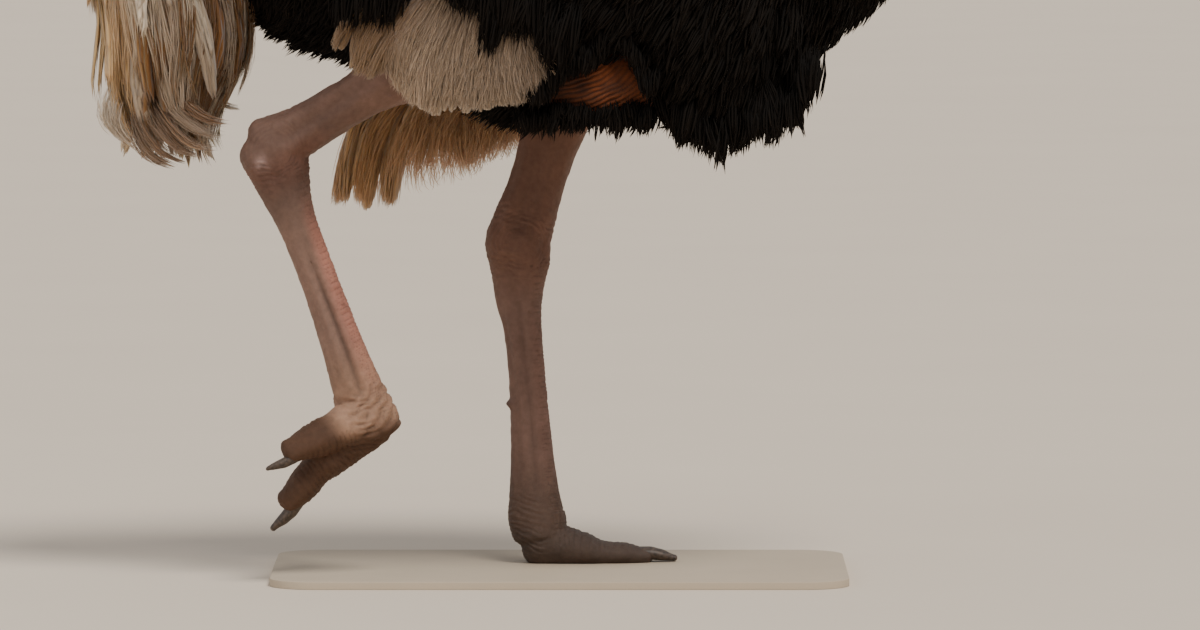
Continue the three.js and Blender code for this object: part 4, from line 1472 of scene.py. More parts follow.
def tufts(plumage, root, way, normal, length, half, width, lift, droop, colour, tip, bend, vary=0.14):
    """Small loose feathers: strands side by side along a curved line, drawn together into a point."""
    count = len(root)
    ones = np.ones(count)
    curve = rng.normal(0, 1, count) * bend
    guide = grown(root, way, normal, length * ones, lift * ones, droop * ones, curve, GUIDE)
    side = np.cross(normal, way)
    tone = rng.lognormal(0, vary, count)[:, None]
    pick = np.repeat(np.arange(count), IN_A_TUFT)
    total = len(pick)
    f = np.tile(np.linspace(-1, 1, IN_A_TUFT), count) + rng.normal(0, 0.2, total)
    h = rng.normal(0, 0.35, total)
    begin = rng.uniform(0, 0.3, total)
    end = rng.uniform(1 - 2.2 * vary, 1 + 0.4 * vary, total) - 0.08 * np.abs(f)
    sway = rng.normal(0, 0.16, total)
    lines = np.empty((total, len(plumage.shares), 3))
    for k, share in enumerate(plumage.shares):
        s = begin + (end - begin) * share
        spread = np.interp(s, [0, 0.35, 0.7, 1.0, 1.1], [0.4, 1.0, 0.85, 0.12, 0.06])
        lines[:, k] = along_guides(guide, pick, s) + side[pick] * (half * (f * spread + sway * s))[:, None]
        lines[:, k] += normal[pick] * (half * h * spread)[:, None]
    run = unit(lines[:, -1] - lines[:, 0])
    facing = turned_about(flat_to(normal[pick], run), run, rng.normal(0, 0.5, total) + 0.5 * f)
    shade = rng.lognormal(0, vary, total)[:, None] * tone[pick]
    wide = width * rng.uniform(0.6, 1.3, total)
    plumage.add(lines, facing, wide, colour[pick] * shade, tip[pick] * shade, 0.35)


# ---------- plumage: the black coat ----------

BLACK = paint(12, 9, 7)
BLACK_TIP = paint(25, 19, 14)
COVERT = (0.0115, 0.0050)  # half a covert's breadth, and a strand's width


def black_tufts(plumage, root, way, normal, length, sizes, lift, droop, bend, brown=1.0):
    colour, tip = rows_of(BLACK, len(root)), rows_of(BLACK_TIP, len(root)) * brown
    tufts(plumage, root, way, normal, length, *sizes, lift, droop, colour, tip, bend)


def body_lie(points, normals):
    """The lie of the body's feathers: back on top, down over breast and flanks, trailing under the belly."""
    n = normals
    down = 0.35 + 0.9 * np.abs(n[:, 1]) * ease(1.25 - points[:, 2], -0.1, 0.3) + 1.4 * ease(n[:, 0], 0.1, 0.8)
    down = down + 0.9 * ease(-n[:, 0], 0.3, 0.9)
    back = 1 - 0.6 * ease(n[:, 0], 0.2, 0.9)
    way = np.stack([-back, 0.25 * n[:, 1], -down], 1)
    way += rng.normal(0, 0.14, way.shape)
    way[:, 0] += 0.35 * rumple(points, 0.09, 44)
    return flat_to(way, n)


def under_wing(points):
    """True where a wing hides the trunk."""
    x, y, z = points.T * 1000
    rows = np.array(WING, float)
    top, low = np.interp(x, rows[:, 0], rows[:, 1]), np.interp(x, rows[:, 0], rows[:, 2])
    return (x > -330) & (x < 385) & (z < top - 45) & (z > low + 45) & (np.abs(y) > 100)


FLANK_EDGE = np.array([  # the bare skin low on each flank: x, and its lower and upper edge
    (-0.012, 0.764, 0.772), (0.013, 0.757, 0.782), (0.048, 0.754, 0.790), (0.066, 0.752, 0.806),
    (0.082, 0.751, 0.822), (0.096, 0.751, 0.819), (0.110, 0.753, 0.798), (0.124, 0.756, 0.780),
    (0.130, 0.760, 0.766),
])


def bare_flank(points):
    """True on the bare skin of the flank, low behind the breast."""
    x, y, z = points.T
    low, high = (np.interp(x, FLANK_EDGE[:, 0], FLANK_EDGE[:, k]) for k in (1, 2))
    return (x > -0.012) & (x < 0.130) & (z > low) & (z < high) & (np.abs(y) > 0.1)


def leg_hole(points):
    """True where a leg leaves the body."""
    found = np.zeros(len(points), bool)
    for leg in (LEFT_LEG, RIGHT_LEG):
        s, _, away = bone_place(points, leg["knee"], leg["ankle"])
        found |= (s > -0.1) & (away < 0.088)
    return found


def covers_flank(root, way, length):
    """True where a feather would hang over the bare flank."""
    hides = np.zeros(len(root), bool)
    for share in (0.0, 0.35, 0.7, 1.0):
        hides |= bare_flank(root + way * (length * share)[:, None])
    return hides


def black_coat():
    """Body feathers, shared out among a few pieces by place."""
    points, normals = scatter(trunk_part(36, 46), 9400)
    x, y, z = points.T
    keep = ~under_wing(points) & ~leg_hole(points) & (x > -0.53)
    keep &= ~((x < -0.46) & (np.abs(y) < 0.11) & (z > 0.95) & (z < 1.2))
    points, normals = points[keep], normals[keep]
    way = body_lie(points, normals)
    low = ease(-normals[:, 2], 0.2, 0.8)
    size = (0.092 + 0.02 * rumple(points, 0.12, 41)) * (1 - 0.25 * low)
    keep = ~covers_flank(points, way, size)
    points, normals, way, low, size = (v[keep] for v in (points, normals, way, low, size))
    lift = 0.34 + 0.12 * rng.normal(0, 1, len(points)).clip(-1, 2) + 0.25 * low
    droop = 0.35 + 0.9 * low + 0.4 * ease(np.abs(normals[:, 1]), 0.3, 0.9)
    brown = (0.8 + 0.9 * rumple(points, 0.07, 42).clip(0, 1))[:, None]
    made = []
    front, back = points[:, 0] > 0.2, points[:, 0] < -0.12
    for name, part in (("breast_coat", front), ("saddle_coat", ~front & ~back), ("rump_coat", back)):
        plumage = Plumage(body_unwrap, SHORT)
        spots, looks, ways, sizes, lifts, droops, browns = (
            v[part] for v in (points, normals, way, size, lift, droop, brown))
        black_tufts(plumage, spots, ways, looks, sizes, COVERT, lifts, droops, 0.45, browns)
        made.append(plumage.make(name))
    return made


FRINGE = [  # ends of the black coverts that hang over the right wing's pale plumes, (x, z)
    (-338, 862), (-327, 858), (-314, 868), (-303, 862), (-288, 866), (-275, 860), (-262, 868), (-254, 870),
    (-248, 888), (-242, 905), (-186, 918), (-174, 902), (-163, 885), (-150, 884), (-138, 880), (-130, 880),
    (-122, 862), (-117, 836), (-112, 818), (-106, 826), (-100, 846), (-90, 850), (-78, 852), (-68, 846),
    (-57, 838), (-44, 834), (-32, 828), (-24, 812), (-17, 800), (-4, 802), (8, 806),
]


BREAST_TUFTS = [  # ends of the black locks that hang below the front of each wing, (x, z)
    (384, 752), (380, 738), (372, 722), (364, 708), (360, 698), (348, 692), (336, 688), (324, 677),
    (314, 682), (302, 688), (288, 682), (274, 664), (262, 672), (248, 650), (238, 660), (228, 661),
    (214, 668), (202, 674), (192, 674), (186, 680), (180, 688), (176, 696), (168, 704),
]


FLANK_TUFTS = [  # ends of the short black locks along the bare flank's upper edge, (x, z)
    (-46, 748), (-38, 742), (-30, 744), (-22, 750), (-14, 758), (-6, 772), (6, 782), (20, 786), (36, 790),
    (50, 797), (60, 808), (70, 820), (106, 818), (116, 802), (126, 786), (134, 770), (138, 754),
]


def hanging(plumage, ends, side, copies, long, y_range, lean, jitter=4.0):
    """Black locks whose tips hang at listed places."""
    ends = np.repeat(np.array(ends, float), copies, axis=0)
    count = len(ends)
    length = rng.uniform(*long, count)
    lean = rng.normal(lean, 0.1, count)
    x = ends[:, 0] + lean * length + rng.normal(0, jitter, count)
    y = side * rng.uniform(*y_range, count)
    root = np.stack([x, y, ends[:, 1] + 0.94 * length + rng.normal(jitter, jitter, count)], 1) * MM
    normal = rows_of(np.array([0.0, side, 0.0]), count)
    way = unit(np.stack([-lean, np.full(count, 0.02 * side), np.full(count, -1.0)], 1))
    black_tufts(plumage, root, way, normal, length * MM, (0.009, 0.004), 0.1, 0.1, 0.25)


def wing_coat(side):
    """The black coverts of one wing, with a fringe over its pale plumes."""
    def outer(places, looks):
        return np.where(looks[:, 1] * side > -0.25, 1.0, 0.12)

    points, normals = scatter(wing_part(side, 20), 2150, outer)
    x, z = points[:, 0], points[:, 2]
    way = np.stack([-1 + 0.5 * ease(x, 0.15, 0.4), 0 * x, -0.45 - 1.1 * ease(1.05 - z, -0.05, 0.25)], 1)
    way += rng.normal(0, 0.15, way.shape)
    way[:, 0] += 0.35 * rumple(points, 0.09, 45)
    way = flat_to(way, normals)
    size = 0.09 + 0.016 * rumple(points, 0.1, 43)
    hides = covers_flank(points, way, size)
    tip_x, tip_z = x + size * way[:, 0], z + size * way[:, 2]
    keep = ~hides & ~((tip_z < 0.875) & (tip_x < -0.02) & (tip_x > -0.36))
    points, normals, way, size = (v[keep] for v in (points, normals, way, size))
    lift = 0.24 + 0.09 * rng.normal(0, 1, len(points)).clip(-1, 2)
    plumage = Plumage(body_unwrap, SHORT)
    black_tufts(plumage, points, way, normals, size, COVERT, lift, 0.6, 0.45)
    hanging(plumage, FRINGE, side, 7, (75, 125), (262, 284), 0.12)
    hanging(plumage, BREAST_TUFTS, side, 8, (60, 105), (150, 235), 0.05)
    hanging(plumage, FLANK_TUFTS, side, 9, (42, 62), (236, 262), 0.0, 3.0)
    # a thinner fringe hangs below the bare flank
    count = 190
    x = np.linspace(-0.06, 0.15, count) + rng.normal(0, 0.003, count)
    root = np.stack([x, side * rng.uniform(0.205, 0.24, count), rng.uniform(0.742, 0.762, count)], 1)
    way = rows_of([0.0, -0.1 * side, -1.0], count)
    way[:, 0] = rng.normal(-0.15, 0.2, count)
    way = unit(way)
    normal = flat_to(rows_of(np.array([0.0, side, 0.0]), count), way)
    black_tufts(plumage, root, way, normal, rng.uniform(0.036, 0.058, count), (0.008, 0.0034), 0.15, 0.3, 0.4)
    return plumage


# ---------- plumage: pale plumes of the wings ----------

CREAM = paint(200, 172, 142)
# the roots' tones are the tips' made darker as painted shade under the coverts
CREAM_ROOT_SHADE = paint(160, 130, 102)
OCHRE = paint(180, 138, 92)
OCHRE_ROOT_SHADE = paint(130, 92, 58)

NEAR_PLUMES = [
    [(-190, 985), (-262, 935), (-318, 890), (-344, 838)],
    [(-188, 978), (-254, 915), (-304, 858), (-330, 800)],
    [(-182, 968), (-240, 898), (-274, 842), (-292, 786)],
    [(-172, 962), (-224, 892), (-252, 846), (-268, 800)],
    [(-165, 955), (-205, 890), (-232, 830), (-248, 768)],
    [(-150, 950), (-182, 880), (-207, 815), (-223, 746)],
    [(-132, 940), (-162, 870), (-184, 805), (-198, 736)],
    [(-112, 925), (-136, 860), (-154, 800), (-165, 742)],
    [(-95, 912), (-112, 850), (-127, 795), (-138, 736)],
    [(-80, 902), (-88, 848), (-95, 798), (-99, 746)],
    [(-66, 895), (-66, 845), (-67, 797), (-66, 746)],
    [(-56, 890), (-52, 845), (-48, 800), (-45, 756)],
    [(-50, 886), (-40, 850), (-28, 818), (-15, 784)],
]
FAR_PLUMES = [
    [(-118, 965), (-225, 800), (-318, 700), (-350, 566)],
    [(-108, 955), (-212, 790), (-288, 690), (-313, 562)],
    [(-98, 948), (-195, 780), (-258, 685), (-276, 562)],
    [(-95, 944), (-182, 778), (-236, 712), (-262, 640)],
    [(-92, 940), (-172, 775), (-220, 680), (-238, 584)],
    [(-84, 932), (-145, 765), (-178, 680), (-187, 602)],
    [(-78, 926), (-122, 760), (-144, 680), (-149, 613)],
    [(-66, 920), (-96, 765), (-116, 700), (-124, 634)],
    [(-54, 912), (-60, 775), (-66, 712), (-72, 648)],
]


def between_lines(paths, place, down):
    """Points at places across the listed lines and at shares of the way down them."""
    low = np.clip(np.floor(place).astype(int), 0, len(paths) - 2)
    part = (place - low)[:, None]
    t = np.clip(down, 0, 1.08) * (paths.shape[1] - 1)
    here = np.empty((len(place), 2))
    for i in range(len(paths) - 1):
        chosen = low == i
        if chosen.any():
            a, b = through(paths[i], t[chosen]), through(paths[i + 1], t[chosen])
            here[chosen] = a * (1 - part[chosen]) + b * part[chosen]
    return here


def curtain(plumage, paths, side, level, colour_of, count, reach, width, clump, locks, ends=0.04, first=0.0,
            last=0.7, wave=5.0, depth=8.0, edge=0.2, only=None, late=2.2, thick=0.16, loose=0.06):
    """Strands that fill the sheet between hanging lines, gathered into soft locks that wave together."""
    paths = np.array(paths, float)
    low_f, high_f = (0, len(paths) - 1) if only is None else only
    if np.isscalar(locks):
        locks = low_f + (high_f - low_f) * (np.arange(locks) + rng.uniform(0.0, 1.0, locks)) / locks
    locks = np.asarray(locks, float)
    count_of = len(locks)
    lock_end, lock_out = rng.normal(0.97, ends, count_of), rng.normal(0, 0.7, count_of).clip(-1.4, 1.4)
    lock_phase, lock_shade = rng.uniform(0, 2 * np.pi, count_of), rng.lognormal(0, 0.08, count_of)
    f = rng.uniform(low_f - edge, high_f + edge, count)
    pick = np.abs((f + rng.normal(0, 0.1, count))[:, None] - locks[None]).argmin(1)
    begin = first + (last - first) * rng.random(count) ** 0.7
    end = begin + reach * rng.uniform(0.6, 1.25, count)
    end = np.minimum(end, lock_end[pick] + rng.normal(0, 0.02, count))
    end = np.maximum(end, begin + 0.1)
    drift = rng.normal(0, loose, count)
    phase = lock_phase[pick] + rng.normal(0, 0.35, count)
    out = (0.75 * lock_out[pick] + 0.5 * rng.normal(0, 1, count).clip(-2, 2)) * depth * MM
    made = np.empty((count, len(plumage.shares), 3))
    for k, share in enumerate(plumage.shares):
        s = begin + (end - begin) * share
        drawn = np.clip(clump * np.clip(s, 0, 1.1) ** late, 0, 0.98)
        here = between_lines(paths, f + (locks[pick] - f) * drawn + drift * s, s)
        made[:, k, 0] = (here[:, 0] + wave * (0.3 + 0.7 * s) * np.sin(phase + 6.5 * s)) * MM
        made[:, k, 2] = (here[:, 1] + 0.2 * wave * np.cos(phase * 3 + 5 * s)) * MM
        made[:, k, 1] = side * (level(s) * MM + out * (0.5 + 0.5 * s))
    facing = np.stack([rng.normal(0, 0.2, count), np.full(count, float(side)), rng.normal(0, 0.1, count)], 1)
    root, tip = (colour * lock_shade[pick][:, None] for colour in colour_of(f, begin, end))
    plumage.add(made, unit(facing), width * MM * rng.uniform(0.6, 1.35, count), root, tip, thick)


def strand_shades(count, spread=0.1):
    return rng.lognormal(0, spread, count)[:, None]


def near_colours(f, begin, end):
    """Ochre at the back, cream in the middle, greyer in front; browner and darker at the roots as painted
    shade under the coverts, with a painted highlight on the middle strands that reach low.
    """
    back = 0.8 * (1 - ease(f, 2.0, 4.5))
    ahead = 0.75 * ease(f, 8.0, 11.0)
    tip = layered(rows_of(CREAM, len(f)), (OCHRE * 0.9, back), (CREAM * 0.5, ahead))
    # painted shade: darker roots for strands that begin high, under the coverts
    root = blend(rows_of(CREAM_ROOT_SHADE, len(f)), OCHRE_ROOT_SHADE * 0.9, back) * (1 - 0.25 * (1 - begin))[:, None]
    shade = strand_shades(len(f), 0.06)
    # a painted highlight: brighter middle strands that reach low
    glow = 0.84 + 0.36 * bell(f, 4.9, 1.2) * ease(end, 0.5, 0.8)
    return root * shade, tip * shade * glow[:, None]


FAR_TIP, FAR_FUZZ = paint(232, 178, 120), paint(234, 184, 136)
FAR_ROOT, FAR_TOP = paint(226, 168, 106), paint(242, 166, 92)


def far_colours(f, begin, end):
    """Golden, more orange near the body; cream for the strands that end high up."""
    fuzz, low, high = ease(f, 2.6, 4.0), ease(end, 0.55, 0.9), 1 - ease(end, 0.38, 0.58)
    tip = layered(rows_of(FAR_TIP, len(f)), (FAR_FUZZ, fuzz), (CREAM, high))
    root = layered(rows_of(FAR_ROOT, len(f)), (FAR_TOP, (1 - low) * (1 - fuzz)), (CREAM_ROOT_SHADE, high))
    shade = strand_shades(len(f), 0.08)
    return root * shade, tip * shade * (0.8 + 0.2 * low)[:, None]


def near_level(s):
    return 262 + 10 * np.sin(np.clip(s, 0, 1) * np.pi) - 6 * s


def far_level(s):
    return 255 + 12 * np.sin(np.clip(s, 0, 1) * np.pi) - 22 * s


DOWN_STATIONS = [  # height, front and back edge, how far out, and half the thickness
    (925, -172, -250, 252, 6), (865, -78, -270, 250, 9), (820, -56, -246, 250, 9), (785, -66, -222, 248, 7),
    (768, -90, -200, 246, 4),
]


def near_down(side):
    """A soft thin pad of down that closes the gaps between the right wing's plumes."""
    rows = []
    for z, front, back, y, half in DOWN_STATIONS:
        reach = (front - back) / 2
        rows.append(mm(back + reach, side * y, z, reach, reach, half))
    points, quads, triangles = outward(loft(rows, 48, 6, DOWN, (8 * MM, 6 * MM)))
    body = build_mesh("plume_down_right", points, quads, triangles)
    shade = 1 + 0.2 * rumple(points, 0.012, 71)
    # the cream darkened as painted shade, where the pad lies under the strands
    colour_points(body, "tint", (CREAM * 0.62)[None] * shade[:, None])
    corner = np.empty(len(body.data.loops), np.int32)
    body.data.loops.foreach_get("vertex_index", corner)
    dress_points(body, points * 60, body_unwrap(points)[corner])
    return body


def near_plumes(side):
    """The short pale plumes at the lower edge of the right wing: vanes below, silky strands over them."""
    vanes, silk = Plumage(body_unwrap, VANE), Plumage(body_unwrap)

    def hang(plumage, paths, raised, *sizes, **more):
        curtain(plumage, paths, side, lambda s: near_level(s) + raised, near_colours, *sizes, **more)

    sheet, flock = dict(only=(3.6, 12), thick=0.1, late=4), NEAR_PLUMES[:4]
    locks = [0, 1.1, 2.3, 3]
    hang(vanes, NEAR_PLUMES, -10, 620, 0.5, 9, 0.2, 26, depth=3, **(sheet | dict(thick=0.06)))
    hang(silk, NEAR_PLUMES, -5, 3500, 0.42, 1.75, 0.35, 30, depth=3, last=0.72, **sheet)
    hang(silk, NEAR_PLUMES, 0, 3750, 0.3, 1.2, 0.4, 38, 0.05, depth=4, last=0.76, wave=6, loose=0.12, **sheet)
    hang(silk, NEAR_PLUMES, 5, 600, 0.24, 0.9, 0.1, 30, edge=0.4, depth=4, wave=8, last=0.85, loose=0.4,
         only=sheet["only"])
    hang(vanes, flock, -3, 120, 0.55, 8, 0.9, locks, edge=0.1, depth=4, wave=6, first=0.15, thick=0.08)
    hang(silk, flock, 2, 1850, 0.4, 1.5, 0.92, locks, edge=0.12, depth=5, wave=7, first=0.15, thick=0.1)
    hang(silk, NEAR_PLUMES, 3, 1000, 0.4, 1.4, 0.5, 9, edge=0.1, depth=5, wave=6, first=0.2, loose=0.1,
         **(sheet | dict(only=(1.2, 3.9))))
    return vanes.make("plume_vanes_right"), silk.make("plume_coat_right")


def far_plumes(side):
    """The longer golden plumes of the left wing."""
    vanes, silk = Plumage(body_unwrap, VANE), Plumage(body_unwrap)

    def hang(plumage, paths, *sizes, **more):
        curtain(plumage, paths, side, far_level, far_colours, *sizes, **more)

    lobes, fingers = [0.0, 1.0, 2.0], FAR_PLUMES[:3]
    hang(vanes, fingers, 260, 0.42, 9, 0.9, lobes, 0.012, edge=0.36, depth=4, late=5, thick=0.07)
    hang(silk, fingers, 2500, 0.3, 1.5, 0.86, lobes, 0.02, edge=0.44, depth=6, wave=8, late=5, last=0.78,
         thick=0.12, loose=0.13)
    sheet = dict(only=(2.3, 8), late=4)
    hang(vanes, FAR_PLUMES, 260, 0.4, 7, 0.3, 26, 0.07, depth=7, wave=8, thick=0.08, last=0.38, **sheet)
    hang(silk, FAR_PLUMES, 2300, 0.28, 1.3, 0.4, 34, 0.08, depth=8, wave=9, loose=0.3, last=0.62, thick=0.12,
         **sheet)
    wild = dict(wave=12, late=4, thick=0.2, edge=0.4)
    hang(silk, FAR_PLUMES, 1900, 0.34, 0.95, 0.1, 40, 0.09, 0.3, 0.72, depth=12, only=(2.3, 8), loose=0.8,
         **wild)
    hang(silk, FAR_PLUMES, 800, 0.34, 1.0, 0.3, 14, 0.09, 0.45, 0.74, depth=10, only=(6.2, 8), loose=0.5,
         **wild)
    return vanes.make("plume_vanes_left"), silk.make("plume_coat_left")


# ---------- plumage: the tail ----------

TAIL_CREAM = paint(250, 228, 198)
TAIL_GOLD = paint(236, 190, 132)
TAIL_BROWN = paint(128, 84, 46)
TAIL_DARK = paint(130, 88, 52)

STRAYS = [  # loose plumes that curl away from the tail: four points in millimetres, and how pale each is, partly their own cream and partly painted sunlight
    [(-702, -58, 770), (-712, -66, 738), (-706, -70, 710), (-684, -72, 688), 0.9],
    [(-694, -66, 760), (-702, -74, 726), (-692, -78, 700), (-670, -80, 682), 0.7],
    [(-686, -74, 748), (-692, -80, 716), (-680, -84, 692), (-658, -84, 672), 0.5],
    [(-620, -92, 800), (-590, -100, 752), (-552, -102, 722), (-512, -102, 714), 0.05],
    [(-628, -90, 782), (-600, -98, 734), (-562, -100, 702), (-524, -100, 692), 0.25],
    [(-634, -86, 766), (-608, -94, 716), (-572, -96, 682), (-534, -96, 676), 0.1],
    [(-648, -84, 756), (-626, -90, 708), (-594, -92, 672), (-556, -92, 660), 0.1],
    [(-662, -74, 746), (-646, -82, 698), (-618, -84, 664), (-580, -84, 650), 0.1],
    [(-668, -64, 742), (-656, -72, 694), (-632, -76, 660), (-596, -78, 644), 0.15],
    [(-672, -54, 740), (-662, -62, 690), (-640, -66, 658), (-606, -68, 642), 0.1],
    [(-694, 60, 760), (-704, 68, 726), (-694, 72, 704), (-674, 74, 684), 0.8],
    [(-600, 90, 812), (-572, 98, 764), (-540, 100, 736), (-506, 100, 728), 0.3],
    [(-626, 84, 776), (-600, 92, 726), (-566, 94, 694), (-530, 94, 686), 0.5],
]


def tail_rings(depth):
    """The tail's outside as rings, their middles, and the share of the way down at which each lies."""
    points, _, _ = tail_part(depth, 72, 8)
    rings = points[:-2].reshape(-1, 72, 3)[7:-7]
    middle = rings.mean(1)
    run = np.cumsum(np.linalg.norm(np.diff(middle, axis=0), axis=1))
    return rings, middle, np.concatenate([[0], run / run[-1]])


def on_tail(rings, middle, along, turn, down):
    """Points at shares of a turn round the tail and of the way down it, and the way out from there."""
    around = rings.shape[1]
    i = np.interp(down, along, np.arange(len(along)))
    low = np.minimum(i.astype(int), len(along) - 2)
    e = (i - low)[:, None]
    j = (turn % 1) * around
    a = j.astype(int) % around
    b, g = (a + 1) % around, (j - np.floor(j))[:, None]
    upper = rings[low, a] * (1 - g) + rings[low, b] * g
    lower = rings[low + 1, a] * (1 - g) + rings[low + 1, b] * g
    point = upper * (1 - e) + lower * e
    out = unit(point - middle[low] * (1 - e) - middle[low + 1] * e)
    return point + np.maximum(down - 1, 0)[:, None] * 0.4 * DOWN, out


TAIL_TIERS = [  # where strands begin, first and last, where their locks end, and how deep they lie
    (0.50, 0.88, 1.045, 8), (0.30, 0.68, 0.88, 10), (0.12, 0.46, 0.66, 12), (0.0, 0.24, 0.44, 14),
]


def tail_locks(plumage, tier, count, reach, width, clump, locks, thick=0.12, out=5.0):
    """One tier of long strands that hang down the tail, drawn together into waving locks."""
    first, last, bottom, depth = tier
    rings, middle, along = tail_rings(depth)
    lock = (np.arange(locks) + rng.uniform(0, 1, locks)) / locks
    lock_end, lock_out = rng.normal(bottom, 0.03, locks), rng.normal(0, 0.7, locks).clip(-1.4, 1.4)
    lock_phase, lock_curl = rng.uniform(0, 2 * np.pi, locks), rng.normal(0, 1, locks)
    lock_shade, lock_pale = rng.lognormal(0, 0.11, locks), 0.4 * (rng.random(locks) < 0.16)
    sweep = rng.uniform(0.012, 0.04, locks)
    turn = rng.random(count)
    apart = (lock[None] - turn[:, None] + 0.5) % 1 - 0.5
    pick = np.abs(apart).argmin(1)
    gap = apart[np.arange(count), pick]
    begin = first + (last - first) * rng.random(count) ** 0.8
    end = begin + reach * rng.uniform(0.6, 1.25, count)
    end = np.minimum(end, lock_end[pick] + rng.normal(0, 0.012, count))
    end = np.maximum(end, begin + 0.1)
    phase = lock_phase[pick] + rng.normal(0, 0.3, count)
    away = (0.75 * lock_out[pick] + 0.5 * rng.normal(0, 1, count).clip(-2, 2)) * out * MM
    lines, outs = np.empty((2, count, len(plumage.shares), 3))
    for k, share in enumerate(plumage.shares):
        s = begin + (end - begin) * share
        own = ((s - first) / (bottom - first)).clip(0, 1.15)
        drawn = np.clip(clump * own**3, 0, 0.97)
        sway = 0.013 * (0.2 + 0.8 * own) * np.sin(phase + 6.8 * own)
        place, normal = on_tail(rings, middle, along, turn + gap * drawn + sway, s)
        off = away * (0.5 + 0.5 * own) + 0.009 * own**3 - 0.004 * (1 - share) ** 2
        place = place + normal * off[:, None]
        place[:, 0] += 0.012 * lock_curl[pick] * own**3 + sweep[pick] * ease(s, 0.72, 1.06) ** 1.5
        lines[:, k], outs[:, k] = place, normal
    centre, normal = lines[:, len(plumage.shares) // 2], outs[:, len(plumage.shares) // 2]
    in_body = (centre[:, 0] > -0.5) & (np.abs(centre[:, 1]) < 0.15) & (centre[:, 2] > 0.88)
    keep = ~(in_body & (normal[:, 0] > 0.2))
    tone = blend(tail_tones(centre, normal), TAIL_CREAM, lock_pale[pick])
    tone = tone * lock_shade[pick][:, None] * strand_shades(count, 0.05)
    facing = unit(normal + rng.normal(0, 0.15, (count, 3)))
    wide = width * MM * rng.uniform(0.6, 1.3, count)
    # the roots a little darker: painted shade where the strands lie under others
    plumage.add(lines[keep], facing[keep], wide[keep], tone[keep] * 0.82, tone[keep], thick)


def tail_tones(points, normals):
    """Golden behind, two cream swathes from the top, brown in front and below; the browner front is partly
    the plumes' own colour and partly painted shade.
    """
    x, z = points[:, 0], points[:, 2]
    front = ease(normals[:, 0], 0.2, 0.95)
    behind = ease(-normals[:, 0], 0.15, 0.8)
    streak = rumple(points * np.array([1, 1, 0.35]), 0.04, 51)
    swathe = 1.1 * bell(x, -0.652, 0.034) * ease(z, 0.83, 0.91)
    other = 0.9 * bell(x, -0.588 + np.clip(0.96 - z, 0, 0.2) * 0.4, 0.012) * ease(z, 0.86, 0.89)
    pale = np.maximum(np.maximum(swathe, other), ease(z, 1.0, 1.12) * 0.8) + 0.15 * streak
    brown = blend(rows_of(TAIL_BROWN, len(points)), TAIL_DARK, np.clip(0.9 * front + 0.3 * streak, 0, 1))
    tone = blend(brown, TAIL_GOLD, np.clip(behind * 0.95 + 0.25 * streak + 0.06, 0, 1) * (1 - front))
    return blend(tone, TAIL_CREAM, np.clip(pale * (1 - 0.55 * front), 0, 1))


def stray_plumes(vanes, silk):
    """The loose plumes, each a few narrow vanes with strands round them."""
    paths = np.array([row[:4] for row in STRAYS], float)
    pale = np.array([row[4] for row in STRAYS])
    for plumage, copies, width, apart in ((vanes, 4, 3.6, 4.0), (silk, 44, 1.1, 6.5)):
        which = np.repeat(np.arange(len(paths)), copies)
        count = len(which)
        lines = np.empty((count, len(plumage.shares), 3))
        shift = rng.normal(0, apart, (count, 3)) * np.array([0.9, 0.5, 0.9])
        begin, end = rng.uniform(0, 0.4, count), rng.uniform(0.7, 1.0, count)
        for k, share in enumerate(plumage.shares):
            t = (begin + (end - begin) * share) * 3
            for i, path in enumerate(paths):
                mine = which == i
                lines[mine, k] = through(path, t[mine]) + shift[mine] * (1.1 - 0.2 * t[mine, None])
        # cream brightened past the tail's own as painted sunlight; the roots darker as painted shade
        tone = blend(rows_of(TAIL_BROWN, count), TAIL_CREAM * 1.05, pale[which]) * strand_shades(count)
        looks = [rng.normal(0, 0.3, count), np.sign(paths[which, 0, 1]), rng.normal(0, 0.3, count)]
        wide = width * MM * rng.uniform(0.7, 1.2, count)
        plumage.add(lines * MM, unit(np.stack(looks, 1)), wide, tone * 0.7, tone, 0.15)


def tail_coat():
    """Long drooping plumes in tiers: broad soft vanes with loose strands over them."""
    vanes, silk = Plumage(tail_unwrap, VANE), Plumage(tail_unwrap)
    for tier in TAIL_TIERS:
        full = 1.0 if tier[0] > 0.2 else 0.72
        tail_locks(vanes, tier, int(720 * full), 0.36, 11, 0.3, 34, thick=0.06, out=3)
        tail_locks(silk, tier, int(1800 * full), 0.36, 2.3, 0.55, 34)
        tail_locks(silk, tier, int(1150 * full), 0.3, 1.6, 0.75, 44, out=7)
    stray_plumes(vanes, silk)
    return vanes.make("tail_vanes"), silk.make("tail_coat")


# ---------- plumage: neck and head ----------


LASHES = 70


def bristles(plumage, root, way, normal, facing, length, lift, droop, bend, width, colours, thick=0.5):
    """Single short hairs, with the colours of their roots and tips."""
    ones = np.ones(len(root))
    lines = grown(root, way, normal, length, lift * ones, droop * ones, bend, SHORT[0])
    plumage.add(lines, facing, width * ones, *colours, thick)


